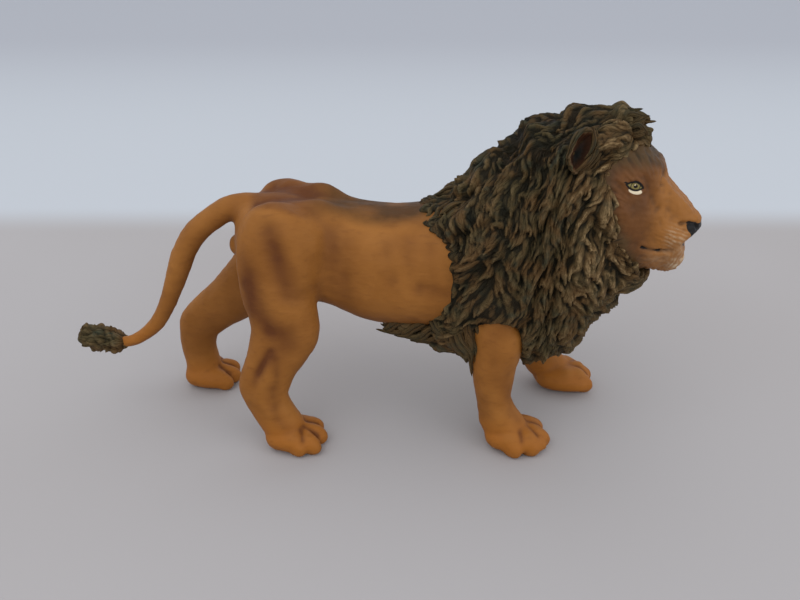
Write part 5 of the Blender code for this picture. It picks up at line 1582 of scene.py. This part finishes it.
def build_tuft(material):
    """The brush on the tail: a swelling tube under short overlapping locks."""
    along, around = TUFT_NET
    centres, radii = middle_line(TUFT, along)
    net = path_rings(centres, radii - TUFT_SINK, radii - TUFT_SINK, around)
    t = np.linspace(0, 1, along)[:, None]
    angle = circle(around)[None, :]
    height, across, tone = np.zeros((3, along, around))
    for _ in range(TUFT_LOCKS):
        start = rng.uniform(-0.02, 0.80)
        length = rng.uniform(0.22, 0.36)
        middle = rng.uniform(0, 2 * math.pi)
        twist = rng.normal(0, 0.5)
        progress = np.clip((t - start) / length, 0, 1)
        aside = (angle - middle - twist * progress + math.pi) % (2 * math.pi) - math.pi
        width = 0.42 * np.sqrt(np.clip(1 - progress**3, 0, 1))
        width *= 0.5 + 0.5 * np.sin(np.pi * np.clip(progress * 1.3, 0, 1))
        value = 0.95 * (0.3 + 0.7 * progress) * np.clip(1 - (aside / (width + 0.01)) ** 2, 0, 1) ** 0.6
        value *= (t >= start) & (progress < 1)
        upper = value > height
        height = np.where(upper, value, height)
        across = np.where(upper, aside * 2.4, across)
        tone = np.where(upper, rng.uniform(0.1, 0.9), tone)
    out = net - centres[:, None]
    out /= np.maximum(np.linalg.norm(out, axis=2, keepdims=True), 1e-6)
    ease = smoothstep(t * 10) * smoothstep((1 - t) * 8)
    height = height + 0.28 * ripple(net, 3.2, 61) * ease
    curl = np.abs(ripple(net, 2.4, 62)) * ease
    height += 0.3 * (curl - 0.6)
    # Relief for painted highlights on raised locks and curls and painted shade between them
    values = {"relief": 0.24 + 0.28 * height + 0.26 * curl, "across": across, "tone": 0.1 + 0.4 * tone,
              "pale": 0 * height}
    make_piece("tuft", *joined([tube(net + out * (height * ease)[..., None])]), material, ("tail_tuft",),
               "mane_paint", **{key: with_poles(value, 0.3, 0.3) for key, value in values.items()})


# Floor, light and camera

# Radii of the floor's rings in metres, and points in each
FLOOR_RINGS = (0.1, 0.2, 0.4, 0.8, 1.6, 3.2, 6.0)
FLOOR_POINTS = 48
SKY_LIGHT = 1.02
# What the lamps point at, and the lamps: name, place and size in metres, power in watts, colour
LAMP_AIM = np.array([0, 0, 0.04])
LAMPS = (
    ("key", (-0.25, -0.45, 0.75), 0.7, 1.2, (1.0, 0.98, 0.95)),
    ("fill", (0.65, -0.45, 0.35), 0.6, 0.9, (1.0, 0.99, 0.97)),
)
# The photograph's camera: focal length and picture width in pixels, place, degrees up from straight down
FOCAL_PIXELS = 679
PICTURE_WIDTH = 800
CAMERA_PLACE = (0.006 + SHIFT[0] * MM, -0.144, 0.1054)
CAMERA_TILT = 63


def build_stage():
    """A wide pale floor, paler and bluer far behind the figure."""
    f = Finish("studio_paint", 0.9, 0.1)
    soft = f.noise(4.0, 2.0)
    behind = f.axis(f.place(), 1)
    floor = f.blend(soft.rise(0.3, 0.7), FLOOR_GREY, FLOOR_PALE)
    far = f.blend(behind.rise(0.25, 0.9), FAR_BLUE, FAR_GREY)
    material = f.done(f.blend(behind.rise(0.125, 0.160), floor, far))
    angle = circle(FLOOR_POINTS)
    points = [(0, 0, 0)] + [(r * math.cos(a), r * math.sin(a), 0) for r in FLOOR_RINGS for a in angle]
    faces = [(0, 1 + n, 1 + (n + 1) % FLOOR_POINTS) for n in range(FLOOR_POINTS)]
    faces += (1 + tube_faces(len(FLOOR_RINGS), FLOOR_POINTS)[0]).tolist()
    stage = add_object("studio", painted_mesh("studio", points, faces, material))


def lamp(name, place, size, power, colour):
    """A round lamp at its place, turned to face what the lamps point at."""
    light = bpy.data.lights.new(name, "AREA")
    light.shape = "DISK"
    light.size = size
    light.energy = power
    light.color = colour
    thing = add_object(name, light)
    thing.location = place
    heading = LAMP_AIM - place
    heading /= np.linalg.norm(heading)
    thing.rotation_euler = (math.acos(-heading[2]), 0, math.atan2(heading[1], heading[0]) - math.pi / 2)


def build_light():
    """An even sky that camera, mirror and glass rays see in a colour of its own, and two lamps."""
    world = bpy.data.worlds.new("studio_light")
    world.use_nodes = True
    nodes, links = world.node_tree.nodes, world.node_tree.links
    sky = nodes["Background"]
    sky.inputs["Color"].default_value = SKY_WHITE
    sky.inputs["Strength"].default_value = SKY_LIGHT
    seen = nodes.new("ShaderNodeBackground")
    seen.inputs["Color"].default_value = BACKDROP
    path = nodes.new("ShaderNodeLightPath")
    shown = path.outputs["Is Camera Ray"]
    for ray in ("Is Glossy Ray", "Is Transmission Ray"):
        either = nodes.new("ShaderNodeMath")
        either.operation = "MAXIMUM"
        links.new(shown, either.inputs[0])
        links.new(path.outputs[ray], either.inputs[1])
        shown = either.outputs[0]
    mix = nodes.new("ShaderNodeMixShader")
    for socket, end in zip((shown, sky.outputs[0], seen.outputs[0]), mix.inputs):
        links.new(socket, end)
    links.new(mix.outputs[0], nodes["World Output"].inputs["Surface"])
    bpy.context.scene.world = world
    for values in LAMPS:
        lamp(*values)


def build_camera():
    """The photograph's camera."""
    bpy.context.scene.view_settings.view_transform = "Standard"
    lens = bpy.data.cameras.new("camera")
    lens.sensor_width = 36
    lens.lens = lens.sensor_width * FOCAL_PIXELS / PICTURE_WIDTH
    lens.clip_start = 0.001
    camera = add_object("camera", lens)
    camera.location = CAMERA_PLACE
    camera.rotation_euler = (math.radians(CAMERA_TILT), 0, 0)
    bpy.context.scene.camera = camera


build_coat()
build_head()
hair_colours = mane_paint()
mane_halves(hair_colours)
build_ear("right_ear_cup", "right_ear", -1)
build_ear("left_ear_cup", "left_ear", 1)
build_tuft(hair_colours)
build_stage()
build_light()
build_camera()
